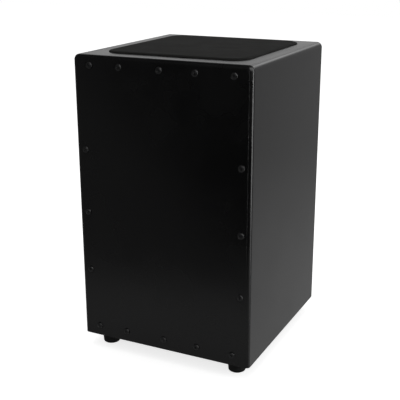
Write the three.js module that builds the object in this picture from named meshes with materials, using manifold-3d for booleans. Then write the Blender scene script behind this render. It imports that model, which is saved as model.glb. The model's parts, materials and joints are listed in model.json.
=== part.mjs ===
// Snare cajon: a box drum that the player sits on, with snare wires behind its playing surface.
//
// Millimetres, +Z up. The origin is on the floor under the middle of the cajon and the playing
// surface faces -Y. Left and right are those of someone who looks at the playing surface, so
// left is -X. The pieces of the body are drawn from the playing surface (y = 0) backwards and
// from the underside of the body (z = 0) upwards, and one group stands them on their feet.

import * as THREE from 'three';
import { mergeVertices } from 'three/addons/utils/BufferGeometryUtils.js';
import Module from 'manifold-3d';

const wasm = await Module();
wasm.setup();

// Body
const bodyWidth = 300;
const bodyDepth = 308;
const bodyHeight = 470;
const boardThickness = 12;
const rebateDepth = 6; // how far a board is let into the edge of its neighbour
const shoulderRadius = 9; // the two top edges that run from front to back
const rimRadius = 6; // routed round the front and the back of the body

// Playing surface, its battens and its screws
const frontPlateThickness = 3;
const battenSize = 18;
const plateScrewInset = 16; // from the side edges and from the top edge
const plateScrewSill = 17; // the lowest row above the underside of the body
const cornerScrewInset = 29; // the outermost screws of the top and bottom rows, from the side edges
const plateScrewColumnShares = [-1, -0.57, 0, 0.49, 1]; // of the way out to the outermost screws
const plateScrewHeightShares = [0.682, 0.462, 0.249]; // of the body's height
const plateScrew = {
  headRadius: 5.3,
  headHeight: 2.2,
  rimHeight: 0.7,
  shankRadius: 2,
  length: 19,
  tipLength: 3,
  recessLength: 5,
  recessWidth: 1,
  recessDepth: 1.3,
};

// Rear panel and its sound hole
const rearPanelThickness = 6;
const soundHoleRadius = 60;
const soundHoleHeight = 285;

// Seat pad
const padSideMargin = 26.5;
const padEndMargin = 26;
const padCornerRadius = 18;
const padThickness = 3.2;
const padShoulderWidth = 7;
const padShoulderDrop = 2.4;

// Feet, each with a steel washer and a screw up into the bottom panel
const footTopRadius = 14.6;
const footBottomRadius = 13.2;
const footHeight = 23;
const footRimRadius = 2.5;
const footSideInset = 32.5;
const footEndInset = 30.5;
const footWebThickness = 6;
const footWellRadius = 7.5;
const footWasherRadius = 6.5;
const footWasherThickness = 1.2;
const footScrew = {
  headRadius: 4.4,
  headHeight: 2.8,
  rimHeight: 1,
  shankRadius: 2,
  length: 16.2,
  tipLength: 3,
  recessLength: 4.4,
  recessWidth: 1,
  recessDepth: 1.5,
};

// Snare bar: a square hardwood bar that turns in two bearing blocks
const barSize = 28;
const barEdgeRadius = 3;
const barLean = 20; // degrees that the face with the wires leans towards the playing surface
const barSwing = 35; // degrees that the bar turns to lift the wires off
const journalRadius = 7;
const journalEndGap = 2;
const frictionWasherRadius = 12;
const frictionWasherThickness = 2;

// Bearing blocks on the side panels
const blockThickness = 18;
const blockHeight = 54;
const blockTail = 27; // how far a block reaches behind the bar's axis
const blockCornerRadius = 8;
const blockScrewBack = 19; // the screws' distance behind the axis
const blockScrewRise = 18; // and above or below it
const blockScrew = {
  headRadius: 4,
  headHeight: 2.2,
  rimHeight: 0.8,
  shankRadius: 1.8,
  length: 27,
  tipLength: 3,
  recessLength: 4,
  recessWidth: 0.9,
  recessDepth: 1.2,
};

// Stop pin in the bar's left end, and the groove in the left block that limits its travel
const stopPinRadius = 2;
const stopPinReach = 15; // from the bar's axis
const stopPinAngle = -45; // degrees from the bar's rear face towards its top
const stopPinGrip = 8; // length held in the bar
const stopPinNose = 6; // length inside the groove
const stopGrooveDepth = 8;

// Lever in the back of the bar, for a hand that reaches in through the sound hole
const leverRadius = 4;
const leverLength = 60; // from the bar's rear face
const leverGrip = 12; // length held in the bar
const leverChamfer = 0.8;
const knobRadius = 13;
const knobFlatRadius = 6.5;
const knobSocketDepth = 12;

// Two sets of snare wires, each soldered to an end plate
const wireSetMargin = 20.5; // from an end plate's outer end to the side batten
const strandCount = 20;
const strandPitch = 2.6;
const strandRadius = 0.95;
const strandRun = 25; // straight stretch past the bar's edge
const strandBendRadius = 60;
const strandRise = 50; // straight stretch along the playing surface
const strandTipMargin = 6; // from the tips up to the top batten
const endPlateWidth = 55;
const endPlateHeight = 15;
const endPlateThickness = 2;
const endPlateTop = 8; // its upper edge above the bar's axis
const solderLap = 3; // length of strand held in the end plate

// Clamp strips that hold the end plates to the bar
const clampHeight = 9.5;
const clampThickness = 2;
const clampDrop = 1.5; // the strip's middle below the bar's axis
const clampScrewSpacing = 40;
const clampScrew = {
  headRadius: 3.8,
  headHeight: 2.2,
  rimHeight: 0.8,
  shankRadius: 1.6,
  length: 14,
  tipLength: 3,
  recessLength: 3.8,
  recessWidth: 0.9,
  recessDepth: 1.2,
};

// Fits
const runningGap = 0.3; // round whatever turns, and round a screw in its hole
const seatGap = 0.3; // between pieces that are seated inside the tilted bar assembly
const pilotGap = 1; // between a screw's point and the bottom of its hole
const cutOverrun = 5; // how far a cutting tool passes the faces that it cuts

// Smoothness of round surfaces, in straight pieces. An extruded outline's arcs get twice theirs.
const outlineArcSteps = 3;
const smallArcSteps = 2;
const strandArcSteps = 3;
const rimSteps = 4;
const holeSteps = 64;
const screwSteps = 12;
const smallHoleSteps = 10;
const footSteps = 20;
const footRimSteps = 3;
const washerSteps = 20;
const strandSteps = 4;
const ballSteps = 6;

// Worked out from the sizes above
const lean = THREE.MathUtils.degToRad(barLean);
const swing = THREE.MathUtils.degToRad(barSwing);
const innerHalfWidth = bodyWidth / 2 - boardThickness;
const innerTop = bodyHeight - boardThickness;
const battenBack = frontPlateThickness + battenSize;
const plateScrewInBatten = plateScrew.length - frontPlateThickness;
const blockFace = innerHalfWidth - blockThickness;
const barHalfLength = blockFace - frictionWasherThickness - 2 * seatGap;
const wireSetOffset = innerHalfWidth - battenSize - wireSetMargin - endPlateWidth / 2;
const endPlateMiddle = barSize / 2 + seatGap + endPlateThickness / 2;
const strandStart = endPlateTop - solderLap;
const strandBendStart = barSize / 2 + strandRun;
const strandForward = endPlateMiddle * Math.cos(lean) + strandBendStart * Math.sin(lean)
  + strandBendRadius * (1 - Math.cos(lean));
const strandTipRise = strandBendStart * Math.cos(lean) - endPlateMiddle * Math.sin(lean)
  + strandBendRadius * Math.sin(lean) + strandRise;
const barAxisY = frontPlateThickness + runningGap + strandRadius + strandForward;
const barAxisZ = innerTop - battenSize - strandTipMargin - strandTipRise;

const unitX = new THREE.Vector3(1, 0, 0);
const unitY = new THREE.Vector3(0, 1, 0);
const unitZ = new THREE.Vector3(0, 0, 1);

const finishes = {
  shell: { color: 0x1b1b1c, roughness: 0.42, metalness: 0 },
  playingSurface: { color: 0x121213, roughness: 0.36, metalness: 0 },
  pad: { color: 0x252524, roughness: 0.85, metalness: 0 },
  rubber: { color: 0x151515, roughness: 0.8, metalness: 0 },
  blackScrew: { color: 0x1d1d1e, roughness: 0.4, metalness: 0.6 },
  steel: { color: 0xb4b6b8, roughness: 0.3, metalness: 1 },
  hardwood: { color: 0xc49a6c, roughness: 0.6, metalness: 0 },
  rawWood: { color: 0xcfae82, roughness: 0.75, metalness: 0 },
  felt: { color: 0x6a3434, roughness: 0.95, metalness: 0 },
  knob: { color: 0x161616, roughness: 0.3, metalness: 0 },
};

const materials = Object.fromEntries(
  Object.entries(finishes).map(([name, finish]) => [name, new THREE.MeshStandardMaterial(finish)]),
);

// Solids from closed meshes

function toSolid(geometry) {
  const bare = geometry.clone();
  bare.deleteAttribute('normal');
  bare.deleteAttribute('uv');
  const welded = mergeVertices(bare);
  const corners = welded.index.array;
  const kept = [];
  for (let i = 0; i < corners.length; i += 3) {
    const [a, b, c] = [corners[i], corners[i + 1], corners[i + 2]];
    if (a !== b && b !== c && c !== a) kept.push(a, b, c);
  }
  return new wasm.Manifold(new wasm.Mesh({
    numProp: 3,
    vertProperties: new Float32Array(welded.attributes.position.array),
    triVerts: new Uint32Array(kept),
  }));
}

function toGeometry(solid) {
  const { vertProperties, triVerts } = solid.getMesh();
  const geometry = new THREE.BufferGeometry();
  geometry.setAttribute('position', new THREE.BufferAttribute(vertProperties, 3));
  geometry.setIndex(new THREE.BufferAttribute(triVerts, 1));
  geometry.computeVertexNormals();
  return geometry;
}

// The solid without the flat slivers that a cut leaves where it grazes a rounded edge.
function withoutSlivers(solid) {
  const bodies = solid.decompose();
  return bodies.reduce((largest, other) => (other.volume() > largest.volume() ? other : largest));
}

// A block between two corners, each given as [x, y, z].
function block(low, high) {
  const [width, depth, height] = high.map((value, i) => value - low[i]);
  const [x, y, z] = high.map((value, i) => (value + low[i]) / 2);
  return toSolid(new THREE.BoxGeometry(width, depth, height).translate(x, y, z));
}

// A cylinder that starts at a point and runs along a direction.
function rod(radius, length, start, direction, steps) {
  const geometry = new THREE.CylinderGeometry(radius, radius, length, steps);
  geometry.translate(0, length / 2, 0);
  geometry.applyQuaternion(new THREE.Quaternion().setFromUnitVectors(unitY, direction));
  return toSolid(geometry.translate(start.x, start.y, start.z));
}

// An outline drawn in X and Z, extruded forwards (towards -Y) from the plane y = back.
function extrudeForward(shape, back, settings) {
  const turn = new THREE.Matrix4().makeBasis(unitX, unitZ, unitY.clone().negate());
  return new THREE.ExtrudeGeometry(shape, settings).applyMatrix4(turn).translate(0, back, 0);
}

// An outline drawn in Y and Z, extruded to the right (towards +X) from the plane x = left.
function extrudeRight(shape, left, settings) {
  const turn = new THREE.Matrix4().makeBasis(unitY, unitZ, unitX);
  return new THREE.ExtrudeGeometry(shape, settings).applyMatrix4(turn).translate(left, 0, 0);
}

// A rectangle with its own radius at each corner, going round from the lower left one.
function roundedRectangle(left, bottom, right, top, radii) {
  const [lowerLeft, lowerRight, upperRight, upperLeft] = radii;
  const corners = [
    [right - lowerRight, bottom + lowerRight, lowerRight, Math.PI * 1.5],
    [right - upperRight, top - upperRight, upperRight, 0],
    [left + upperLeft, top - upperLeft, upperLeft, Math.PI / 2],
    [left + lowerLeft, bottom + lowerLeft, lowerLeft, Math.PI],
  ];
  const shape = new THREE.Shape();
  shape.moveTo(left + lowerLeft, bottom);
  corners.forEach(([x, y, radius, angle]) => {
    shape.lineTo(x + radius * Math.cos(angle), y + radius * Math.sin(angle));
    if (radius > 0) shape.absarc(x, y, radius, angle, angle + Math.PI / 2, false);
  });
  return shape;
}

// A solid of revolution about Y from a profile of [radius, height] points, listed upwards.
function turned(profile, steps) {
  return new THREE.LatheGeometry(profile.map(([x, y]) => new THREE.Vector2(x, y)), steps);
}

function ring(innerRadius, outerRadius, thickness, steps) {
  return turned([
    [innerRadius, 0],
    [outerRadius, 0],
    [outerRadius, thickness],
    [innerRadius, thickness],
    [innerRadius, 0],
  ], steps);
}

// A round-headed wood screw along Y. Its head rests on the plane y = 0 and stands up from it.
function woodScrew(size) {
  const domeRadius = size.headRadius * Math.SQRT1_2;
  const domeHeight = size.rimHeight + (size.headHeight - size.rimHeight) * Math.SQRT1_2;
  const blank = toSolid(turned([
    [0, -size.length],
    [size.shankRadius, size.tipLength - size.length],
    [size.shankRadius, 0],
    [size.headRadius, 0],
    [size.headRadius, size.rimHeight],
    [domeRadius, domeHeight],
    [0, size.headHeight],
  ], screwSteps));
  const floor = size.headHeight - size.recessDepth;
  const roof = size.headHeight + cutOverrun;
  const [reach, half] = [size.recessLength / 2, size.recessWidth / 2];
  const recess = block([-reach, floor, -half], [reach, roof, half])
    .add(block([-half, floor, -reach], [half, roof, reach]));
  return toGeometry(blank.subtract(recess));
}

// A blind or through hole for a screw, drilled inwards from a point on the surface.
function screwHole(size, start, inward, depth) {
  const begin = start.clone().addScaledVector(inward, -cutOverrun);
  return rod(size.shankRadius + runningGap, depth + cutOverrun, begin, inward, smallHoleSteps);
}

// The outside of the body, cut off flat underneath: round shoulders and a routed rim.
function bodyEnvelope() {
  const half = bodyWidth / 2;
  const outline = roundedRectangle(
    -half,
    -rimRadius - cutOverrun,
    half,
    bodyHeight,
    [0, 0, shoulderRadius, shoulderRadius],
  );
  const geometry = extrudeForward(outline, bodyDepth - rimRadius, {
    depth: bodyDepth - 2 * rimRadius,
    curveSegments: outlineArcSteps,
    bevelSize: rimRadius,
    bevelOffset: -rimRadius,
    bevelThickness: rimRadius,
    bevelSegments: rimSteps,
  });
  const keep = block(
    [-half - cutOverrun, -cutOverrun, 0],
    [half + cutOverrun, bodyDepth + cutOverrun, bodyHeight + cutOverrun],
  );
  return toSolid(geometry).intersect(keep);
}

// Where the front plate's screws go, by name.
function plateScrewPlaces() {
  const places = [];
  plateScrewColumnShares.forEach((share, i) => {
    const x = share * (bodyWidth / 2 - cornerScrewInset);
    places.push({ name: `plate_screw_top_${i + 1}`, x, z: bodyHeight - plateScrewInset });
    places.push({ name: `plate_screw_bottom_${i + 1}`, x, z: plateScrewSill });
  });
  plateScrewHeightShares.forEach((share, i) => {
    const x = bodyWidth / 2 - plateScrewInset;
    const z = share * bodyHeight;
    places.push({ name: `plate_screw_left_${i + 1}`, x: -x, z });
    places.push({ name: `plate_screw_right_${i + 1}`, x, z });
  });
  return places;
}

function footPlaces() {
  const x = bodyWidth / 2 - footSideInset;
  const back = bodyDepth - footEndInset;
  return [
    { name: 'front_left', x: -x, y: footEndInset },
    { name: 'front_right', x, y: footEndInset },
    { name: 'rear_left', x: -x, y: back },
    { name: 'rear_right', x, y: back },
  ];
}

// Screw places on a bearing block, as [y, z] from the underside of the body.
function blockScrewPlaces() {
  return [blockScrewRise, -blockScrewRise].map((rise) => [barAxisY + blockScrewBack, barAxisZ + rise]);
}

// The four boards of the shell. Side boards run the full height; the top and bottom boards
// are let into them, and all four are rebated for the rear panel.
function shellBoards(envelope) {
  const lap = bodyWidth / 2 - rebateDepth;
  const rearFloor = bodyDepth - rearPanelThickness;
  const out = bodyWidth / 2 + cutOverrun;
  const far = bodyDepth + cutOverrun;
  const over = bodyHeight + cutOverrun;
  const front = frontPlateThickness;
  const rearRebate = block([-lap, rearFloor, rebateDepth], [lap, far, bodyHeight - rebateDepth]);
  const shell = envelope
    .intersect(block([-out, front, -cutOverrun], [out, far, over]))
    .subtract(rearRebate);
  const upperSlab = block([-lap, front - cutOverrun, innerTop], [lap, far, over]);
  const lowerSlab = block([-lap, front - cutOverrun, -cutOverrun], [lap, far, boardThickness]);
  const rightSlab = block([innerHalfWidth, front - cutOverrun, -cutOverrun], [out, far, over]);
  const sideBoards = shell.subtract(upperSlab).subtract(lowerSlab);
  return {
    leftSide: withoutSlivers(sideBoards.intersect(rightSlab.mirror([1, 0, 0]))),
    rightSide: withoutSlivers(sideBoards.intersect(rightSlab)),
    upper: withoutSlivers(shell.intersect(upperSlab)),
    lower: withoutSlivers(shell.intersect(lowerSlab)),
  };
}

function sidePanel(board, side) {
  const inward = unitX.clone().multiplyScalar(side);
  const depth = blockScrew.length - blockThickness + pilotGap;
  const holes = blockScrewPlaces().map(([y, z]) => (
    screwHole(blockScrew, new THREE.Vector3(side * innerHalfWidth, y, z), inward, depth)
  ));
  return toGeometry(board.subtract(wasm.Manifold.union(holes)));
}

function bottomPanel(board) {
  const depth = footScrew.length - footWasherThickness - footWebThickness + pilotGap;
  const holes = footPlaces().map(({ x, y }) => (
    screwHole(footScrew, new THREE.Vector3(x, y, 0), unitZ, depth)
  ));
  return toGeometry(board.subtract(wasm.Manifold.union(holes)));
}

function rearPanel(envelope) {
  const lap = bodyWidth / 2 - rebateDepth;
  const rearFloor = bodyDepth - rearPanelThickness;
  const panel = envelope.intersect(
    block([-lap, rearFloor, rebateDepth], [lap, bodyDepth + cutOverrun, bodyHeight - rebateDepth]),
  );
  const start = new THREE.Vector3(0, rearFloor - cutOverrun, soundHoleHeight);
  const hole = rod(soundHoleRadius, rearPanelThickness + 2 * cutOverrun, start, unitY, holeSteps);
  return toGeometry(panel.subtract(hole));
}

function frontPlate(envelope) {
  const out = bodyWidth / 2 + cutOverrun;
  const plate = envelope.intersect(
    block([-out, -cutOverrun, -cutOverrun], [out, frontPlateThickness, bodyHeight + cutOverrun]),
  );
  const holes = plateScrewPlaces().map(({ x, z }) => (
    screwHole(plateScrew, new THREE.Vector3(x, 0, z), unitY, frontPlateThickness + cutOverrun)
  ));
  return toGeometry(plate.subtract(wasm.Manifold.union(holes)));
}

// The four battens behind the front plate's edges, which its screws bite into.
function battens() {
  const [front, back] = [frontPlateThickness, battenBack];
  const [inner, outer] = [innerHalfWidth - battenSize, innerHalfWidth];
  const [floor, ceiling] = [boardThickness, innerTop];
  const [sill, head] = [floor + battenSize, ceiling - battenSize];
  const bars = {
    front_batten_top: block([-outer, front, head], [outer, back, ceiling]),
    front_batten_bottom: block([-outer, front, floor], [outer, back, sill]),
    front_batten_left: block([-outer, front, sill], [-inner, back, head]),
    front_batten_right: block([inner, front, sill], [outer, back, head]),
  };
  const depth = plateScrewInBatten + pilotGap;
  const holes = wasm.Manifold.union(plateScrewPlaces().map(({ x, z }) => (
    screwHole(plateScrew, new THREE.Vector3(x, front, z), unitY, depth)
  )));
  return Object.entries(bars).map(([name, bar]) => [name, toGeometry(bar.subtract(holes))]);
}

// A thin pad with round corners and a sloping shoulder, flat underneath.
function seatPad() {
  const x = bodyWidth / 2 - padSideMargin;
  const [front, back] = [padEndMargin, bodyDepth - padEndMargin];
  const corner = padCornerRadius;
  const outline = roundedRectangle(-x, front, x, back, [corner, corner, corner, corner]);
  const rise = padThickness - padShoulderDrop;
  const blank = new THREE.ExtrudeGeometry(outline, {
    depth: rise + cutOverrun,
    curveSegments: outlineArcSteps,
    bevelSize: padShoulderWidth,
    bevelOffset: -padShoulderWidth,
    bevelThickness: padShoulderDrop,
    bevelSegments: rimSteps,
  }).translate(0, 0, bodyHeight - cutOverrun);
  const keep = block([-x, 0, bodyHeight], [x, bodyDepth, bodyHeight + padThickness + cutOverrun]);
  return toGeometry(toSolid(blank).intersect(keep));
}

// A rubber foot, drawn downwards from the body: a slight taper, a round lower rim and a well
// for the washer and the screw.
function foot() {
  const rim = [];
  for (let i = 0; i <= footRimSteps; i += 1) {
    const angle = (i / footRimSteps) * Math.PI / 2;
    rim.push([
      footBottomRadius - footRimRadius * (1 - Math.sin(angle)),
      -footHeight + footRimRadius * (1 - Math.cos(angle)),
    ]);
  }
  const shank = footScrew.shankRadius + runningGap;
  return toGeometry(toSolid(turned([
    [shank, -footWebThickness],
    [footWellRadius, -footWebThickness],
    [footWellRadius, -footHeight],
    ...rim,
    [footTopRadius, 0],
    [shank, 0],
    [shank, -footWebThickness],
  ], footSteps)));
}

// A bearing block, drawn for one side: its face towards the bar has the stop groove if wanted.
function bearingBlock(side, grooved) {
  const outer = side * innerHalfWidth;
  const face = side * blockFace;
  const outline = roundedRectangle(
    battenBack + seatGap,
    barAxisZ - blockHeight / 2,
    barAxisY + blockTail,
    barAxisZ + blockHeight / 2,
    [0, blockCornerRadius, blockCornerRadius, 0],
  );
  const inward = unitX.clone().multiplyScalar(side);
  let solid = toSolid(extrudeRight(outline, Math.min(outer, face), {
    depth: blockThickness,
    curveSegments: outlineArcSteps,
    bevelEnabled: false,
  }));
  const axis = new THREE.Vector3(face - side * cutOverrun, barAxisY, barAxisZ);
  const bore = journalRadius + runningGap;
  solid = solid.subtract(rod(bore, blockThickness + 2 * cutOverrun, axis, inward, washerSteps));
  blockScrewPlaces().forEach(([y, z]) => {
    const start = new THREE.Vector3(face, y, z);
    solid = solid.subtract(screwHole(blockScrew, start, inward, blockThickness + cutOverrun));
  });
  if (grooved) {
    const length = stopGrooveDepth + cutOverrun;
    const left = side < 0 ? face - stopGrooveDepth : face - cutOverrun;
    const groove = extrudeRight(stopGroove(), left, {
      depth: length,
      curveSegments: outlineArcSteps,
      bevelEnabled: false,
    });
    solid = solid.subtract(toSolid(groove.translate(0, barAxisY, barAxisZ)));
  }
  return toGeometry(solid);
}

// The groove's outline about the bar's axis: the pin's width and a running gap along an arc
// as long as the bar's swing.
function stopGroove() {
  const start = THREE.MathUtils.degToRad(stopPinAngle) + lean;
  const end = start - swing;
  const half = stopPinRadius + runningGap;
  const outer = stopPinReach + half;
  const inner = stopPinReach - half;
  const shape = new THREE.Shape();
  shape.absarc(0, 0, outer, end, start, false);
  shape.absarc(
    stopPinReach * Math.cos(start),
    stopPinReach * Math.sin(start),
    half,
    start,
    start + Math.PI,
    false,
  );
  shape.absarc(0, 0, inner, start, end, true);
  shape.absarc(
    stopPinReach * Math.cos(end),
    stopPinReach * Math.sin(end),
    half,
    end + Math.PI,
    end + 2 * Math.PI,
    false,
  );
  return shape;
}

// The bar itself, drawn about its axis with the wires' face towards -Y, as is all that turns
// with it.
function snareBar() {
  const half = barSize / 2;
  const radii = [barEdgeRadius, barEdgeRadius, barEdgeRadius, barEdgeRadius];
  let solid = toSolid(extrudeRight(roundedRectangle(-half, -half, half, half, radii), -barHalfLength, {
    depth: 2 * barHalfLength,
    curveSegments: smallArcSteps,
    bevelEnabled: false,
  }));
  const journalHalf = innerHalfWidth - journalEndGap;
  const journalStart = new THREE.Vector3(-journalHalf, 0, 0);
  solid = solid.add(rod(journalRadius, 2 * journalHalf, journalStart, unitX, washerSteps));
  const leverHole = new THREE.Vector3(0, half - leverGrip - seatGap, 0);
  solid = solid.subtract(
    rod(leverRadius + seatGap, leverGrip + seatGap + cutOverrun, leverHole, unitY, smallHoleSteps),
  );
  const pin = stopPinCentre();
  const pinHole = new THREE.Vector3(-barHalfLength - cutOverrun, pin.y, pin.z);
  const pinLength = cutOverrun + stopPinGrip + seatGap;
  solid = solid.subtract(rod(stopPinRadius + seatGap, pinLength, pinHole, unitX, smallHoleSteps));
  clampScrewPlaces().forEach(({ x }) => {
    const start = new THREE.Vector3(x, -half, -clampDrop);
    solid = solid.subtract(screwHole(clampScrew, start, unitY, clampScrewInBar() + pilotGap));
  });
  return toGeometry(solid);
}

function stopPinCentre() {
  const angle = THREE.MathUtils.degToRad(stopPinAngle);
  return new THREE.Vector3(0, stopPinReach * Math.cos(angle), stopPinReach * Math.sin(angle));
}

function clampScrewInBar() {
  return clampScrew.length - endPlateThickness - clampThickness - 3 * seatGap;
}

function clampScrewPlaces() {
  return [['left', -wireSetOffset], ['right', wireSetOffset]].flatMap(([side, middle]) => [
    { name: `clamp_screw_${side}_1`, x: middle - clampScrewSpacing / 2 },
    { name: `clamp_screw_${side}_2`, x: middle + clampScrewSpacing / 2 },
  ]);
}

// One strand's centre line: straight off the end plate, round a bend and straight up the
// playing surface, which stands upright while the bar leans.
function strandPath(x) {
  const path = new THREE.CurvePath();
  const y = -endPlateMiddle;
  const start = new THREE.Vector3(x, y, strandStart);
  const bend = new THREE.Vector3(x, y, strandBendStart);
  const point = (angle) => new THREE.Vector3(
    x,
    y + strandBendRadius * (1 - Math.cos(angle)),
    strandBendStart + strandBendRadius * Math.sin(angle),
  );
  path.add(new THREE.LineCurve3(start, bend));
  const control = new THREE.Vector3(x, y, strandBendStart + strandBendRadius * Math.tan(lean / 2));
  path.add(new THREE.QuadraticBezierCurve3(bend, control, point(lean)));
  const along = new THREE.Vector3(0, Math.sin(lean), Math.cos(lean)).multiplyScalar(strandRise);
  path.add(new THREE.LineCurve3(point(lean), point(lean).add(along)));
  return path;
}

function snareWires(middle) {
  const section = new THREE.Shape();
  section.absarc(0, 0, strandRadius, 0, 2 * Math.PI, false);
  const strands = [];
  for (let i = 0; i < strandCount; i += 1) {
    const x = middle + (i - (strandCount - 1) / 2) * strandPitch;
    strands.push(new THREE.ExtrudeGeometry(section, {
      extrudePath: strandPath(x),
      steps: strandSteps,
      curveSegments: strandArcSteps,
    }));
  }
  const front = -barSize / 2 - seatGap - endPlateThickness;
  const low = [middle - endPlateWidth / 2, front, endPlateTop - endPlateHeight];
  const high = [middle + endPlateWidth / 2, front + endPlateThickness, endPlateTop];
  let solid = block(low, high);
  strands.forEach((strand) => {
    solid = solid.add(toSolid(strand));
  });
  clampScrewPlaces().forEach(({ x }) => {
    const start = new THREE.Vector3(x, front, -clampDrop);
    solid = solid.subtract(screwHole(clampScrew, start, unitY, endPlateThickness + cutOverrun));
  });
  return toGeometry(solid);
}

function clampStrip(middle) {
  const back = -barSize / 2 - endPlateThickness - 2 * seatGap;
  const front = back - clampThickness;
  const outline = roundedRectangle(
    middle - endPlateWidth / 2,
    -clampDrop - clampHeight / 2,
    middle + endPlateWidth / 2,
    -clampDrop + clampHeight / 2,
    Array(4).fill(clampThickness),
  );
  let solid = toSolid(extrudeForward(outline, back, {
    depth: clampThickness,
    curveSegments: smallArcSteps,
    bevelEnabled: false,
  }));
  clampScrewPlaces().forEach(({ x }) => {
    const start = new THREE.Vector3(x, front, -clampDrop);
    solid = solid.subtract(screwHole(clampScrew, start, unitY, clampThickness + cutOverrun));
  });
  return toGeometry(solid);
}

// The lever's rod along Y, from its end in the bar to its end in the knob.
function leverRod() {
  const length = leverGrip + leverLength + knobSocketDepth;
  const nose = leverRadius - leverChamfer;
  return toGeometry(toSolid(turned([
    [0, 0],
    [nose, 0],
    [leverRadius, leverChamfer],
    [leverRadius, length - leverChamfer],
    [nose, length],
    [0, length],
  ], smallHoleSteps)));
}

// A ball with a flat and a socket, along Y, with its flat on the plane y = 0.
function leverKnob() {
  const centre = Math.sqrt(knobRadius ** 2 - knobFlatRadius ** 2);
  const socket = leverRadius + seatGap;
  const profile = [
    [0, knobSocketDepth + seatGap],
    [socket, knobSocketDepth + seatGap],
    [socket, 0],
  ];
  const first = -Math.acos(knobFlatRadius / knobRadius);
  for (let i = 0; i <= ballSteps; i += 1) {
    const angle = first + (i / ballSteps) * (Math.PI / 2 - first);
    const radius = i === ballSteps ? 0 : knobRadius * Math.cos(angle);
    profile.push([radius, centre + knobRadius * Math.sin(angle)]);
  }
  return toGeometry(toSolid(turned(profile, screwSteps)));
}

// The model

function add(parent, name, geometry, material, position = [0, 0, 0], direction = unitY) {
  const mesh = new THREE.Mesh(geometry, material);
  mesh.name = name;
  mesh.position.set(...position);
  mesh.quaternion.setFromUnitVectors(unitY, direction);
  parent.add(mesh);
}

function addBody(body) {
  const envelope = bodyEnvelope();
  const boards = shellBoards(envelope);
  add(body, 'left_side_panel', sidePanel(boards.leftSide, -1), materials.shell);
  add(body, 'right_side_panel', sidePanel(boards.rightSide, 1), materials.shell);
  add(body, 'top_panel', toGeometry(boards.upper), materials.shell);
  add(body, 'bottom_panel', bottomPanel(boards.lower), materials.shell);
  add(body, 'rear_panel', rearPanel(envelope), materials.shell);
  add(body, 'front_plate', frontPlate(envelope), materials.playingSurface);
  battens().forEach(([name, geometry]) => add(body, name, geometry, materials.rawWood));
  add(body, 'seat_pad', seatPad(), materials.pad);
}

function addPlateScrews(body) {
  const geometry = woodScrew(plateScrew);
  const outward = unitY.clone().negate();
  plateScrewPlaces().forEach(({ name, x, z }) => {
    add(body, name, geometry, materials.blackScrew, [x, 0, z], outward);
  });
}

function addFeet(body) {
  const rubber = foot();
  const washer = toGeometry(toSolid(
    ring(footScrew.shankRadius + runningGap, footWasherRadius, footWasherThickness, washerSteps),
  ));
  const screw = woodScrew(footScrew);
  const down = unitZ.clone().negate();
  const webFace = -footWebThickness;
  const screwFace = webFace - footWasherThickness;
  footPlaces().forEach(({ name, x, y }) => {
    add(body, `foot_${name}`, rubber, materials.rubber, [x, y, 0], unitZ);
    add(body, `foot_washer_${name}`, washer, materials.steel, [x, y, webFace], down);
    add(body, `foot_screw_${name}`, screw, materials.steel, [x, y, screwFace], down);
  });
}

function addBearings(body) {
  const washer = toGeometry(toSolid(
    ring(journalRadius + runningGap, frictionWasherRadius, frictionWasherThickness, washerSteps),
  ));
  const screw = woodScrew(blockScrew);
  [['left', -1], ['right', 1]].forEach(([name, side]) => {
    const inward = unitX.clone().multiplyScalar(-side);
    add(body, `bearing_block_${name}`, bearingBlock(side, side < 0), materials.hardwood);
    blockScrewPlaces().forEach(([y, z], i) => {
      const place = [side * blockFace, y, z];
      add(body, `block_screw_${name}_${i + 1}`, screw, materials.steel, place, inward);
    });
    const washerPlace = [side * (blockFace - seatGap), barAxisY, barAxisZ];
    add(body, `friction_washer_${name}`, washer, materials.felt, washerPlace, inward);
  });
}

function addSnareBar(body) {
  const assembly = new THREE.Group();
  assembly.position.set(0, barAxisY, barAxisZ);
  assembly.rotation.x = lean;
  body.add(assembly);
  add(assembly, 'snare_bar', snareBar(), materials.hardwood);
  const pin = stopPinCentre();
  const pinGeometry = new THREE.CylinderGeometry(
    stopPinRadius,
    stopPinRadius,
    stopPinGrip + blockFace - barHalfLength + stopPinNose,
    smallHoleSteps,
  );
  const pinMiddle = -(barHalfLength - stopPinGrip + blockFace + stopPinNose) / 2;
  add(assembly, 'stop_pin', pinGeometry, materials.steel, [pinMiddle, pin.y, pin.z], unitX);
  [['left', -wireSetOffset], ['right', wireSetOffset]].forEach(([side, middle]) => {
    add(assembly, `snare_wires_${side}`, snareWires(middle), materials.steel);
    add(assembly, `clamp_strip_${side}`, clampStrip(middle), materials.steel);
  });
  const screw = woodScrew(clampScrew);
  const clampFront = -barSize / 2 - endPlateThickness - clampThickness - 3 * seatGap;
  clampScrewPlaces().forEach(({ name, x }) => {
    add(assembly, name, screw, materials.steel, [x, clampFront, -clampDrop], unitY.clone().negate());
  });
  add(assembly, 'lever_rod', leverRod(), materials.steel, [0, barSize / 2 - leverGrip, 0]);
  add(assembly, 'lever_knob', leverKnob(), materials.knob, [0, barSize / 2 + leverLength, 0]);
}

const cajon = new THREE.Group();
const body = new THREE.Group();
body.position.set(0, (plateScrew.headHeight - bodyDepth) / 2, footHeight);
cajon.add(body);
addBody(body);
addPlateScrews(body);
addFeet(body);
addBearings(body);
addSnareBar(body);

export default cajon;
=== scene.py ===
"""Snare cajon: the looks of the box drum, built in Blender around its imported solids.

The file is laid out as an add-on and is run as a script. Lengths are metres in the frame of the
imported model: +Z is up, the playing surface faces -Y, and left is -X. Where a size is that of a
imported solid, it is read from the frame.
"""

import json
import math

import bmesh
import bpy
from bpy.props import FloatProperty, FloatVectorProperty, IntProperty, PointerProperty
from mathutils import Matrix, Vector, noise
from mathutils.geometry import delaunay_2d_cdt


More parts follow.
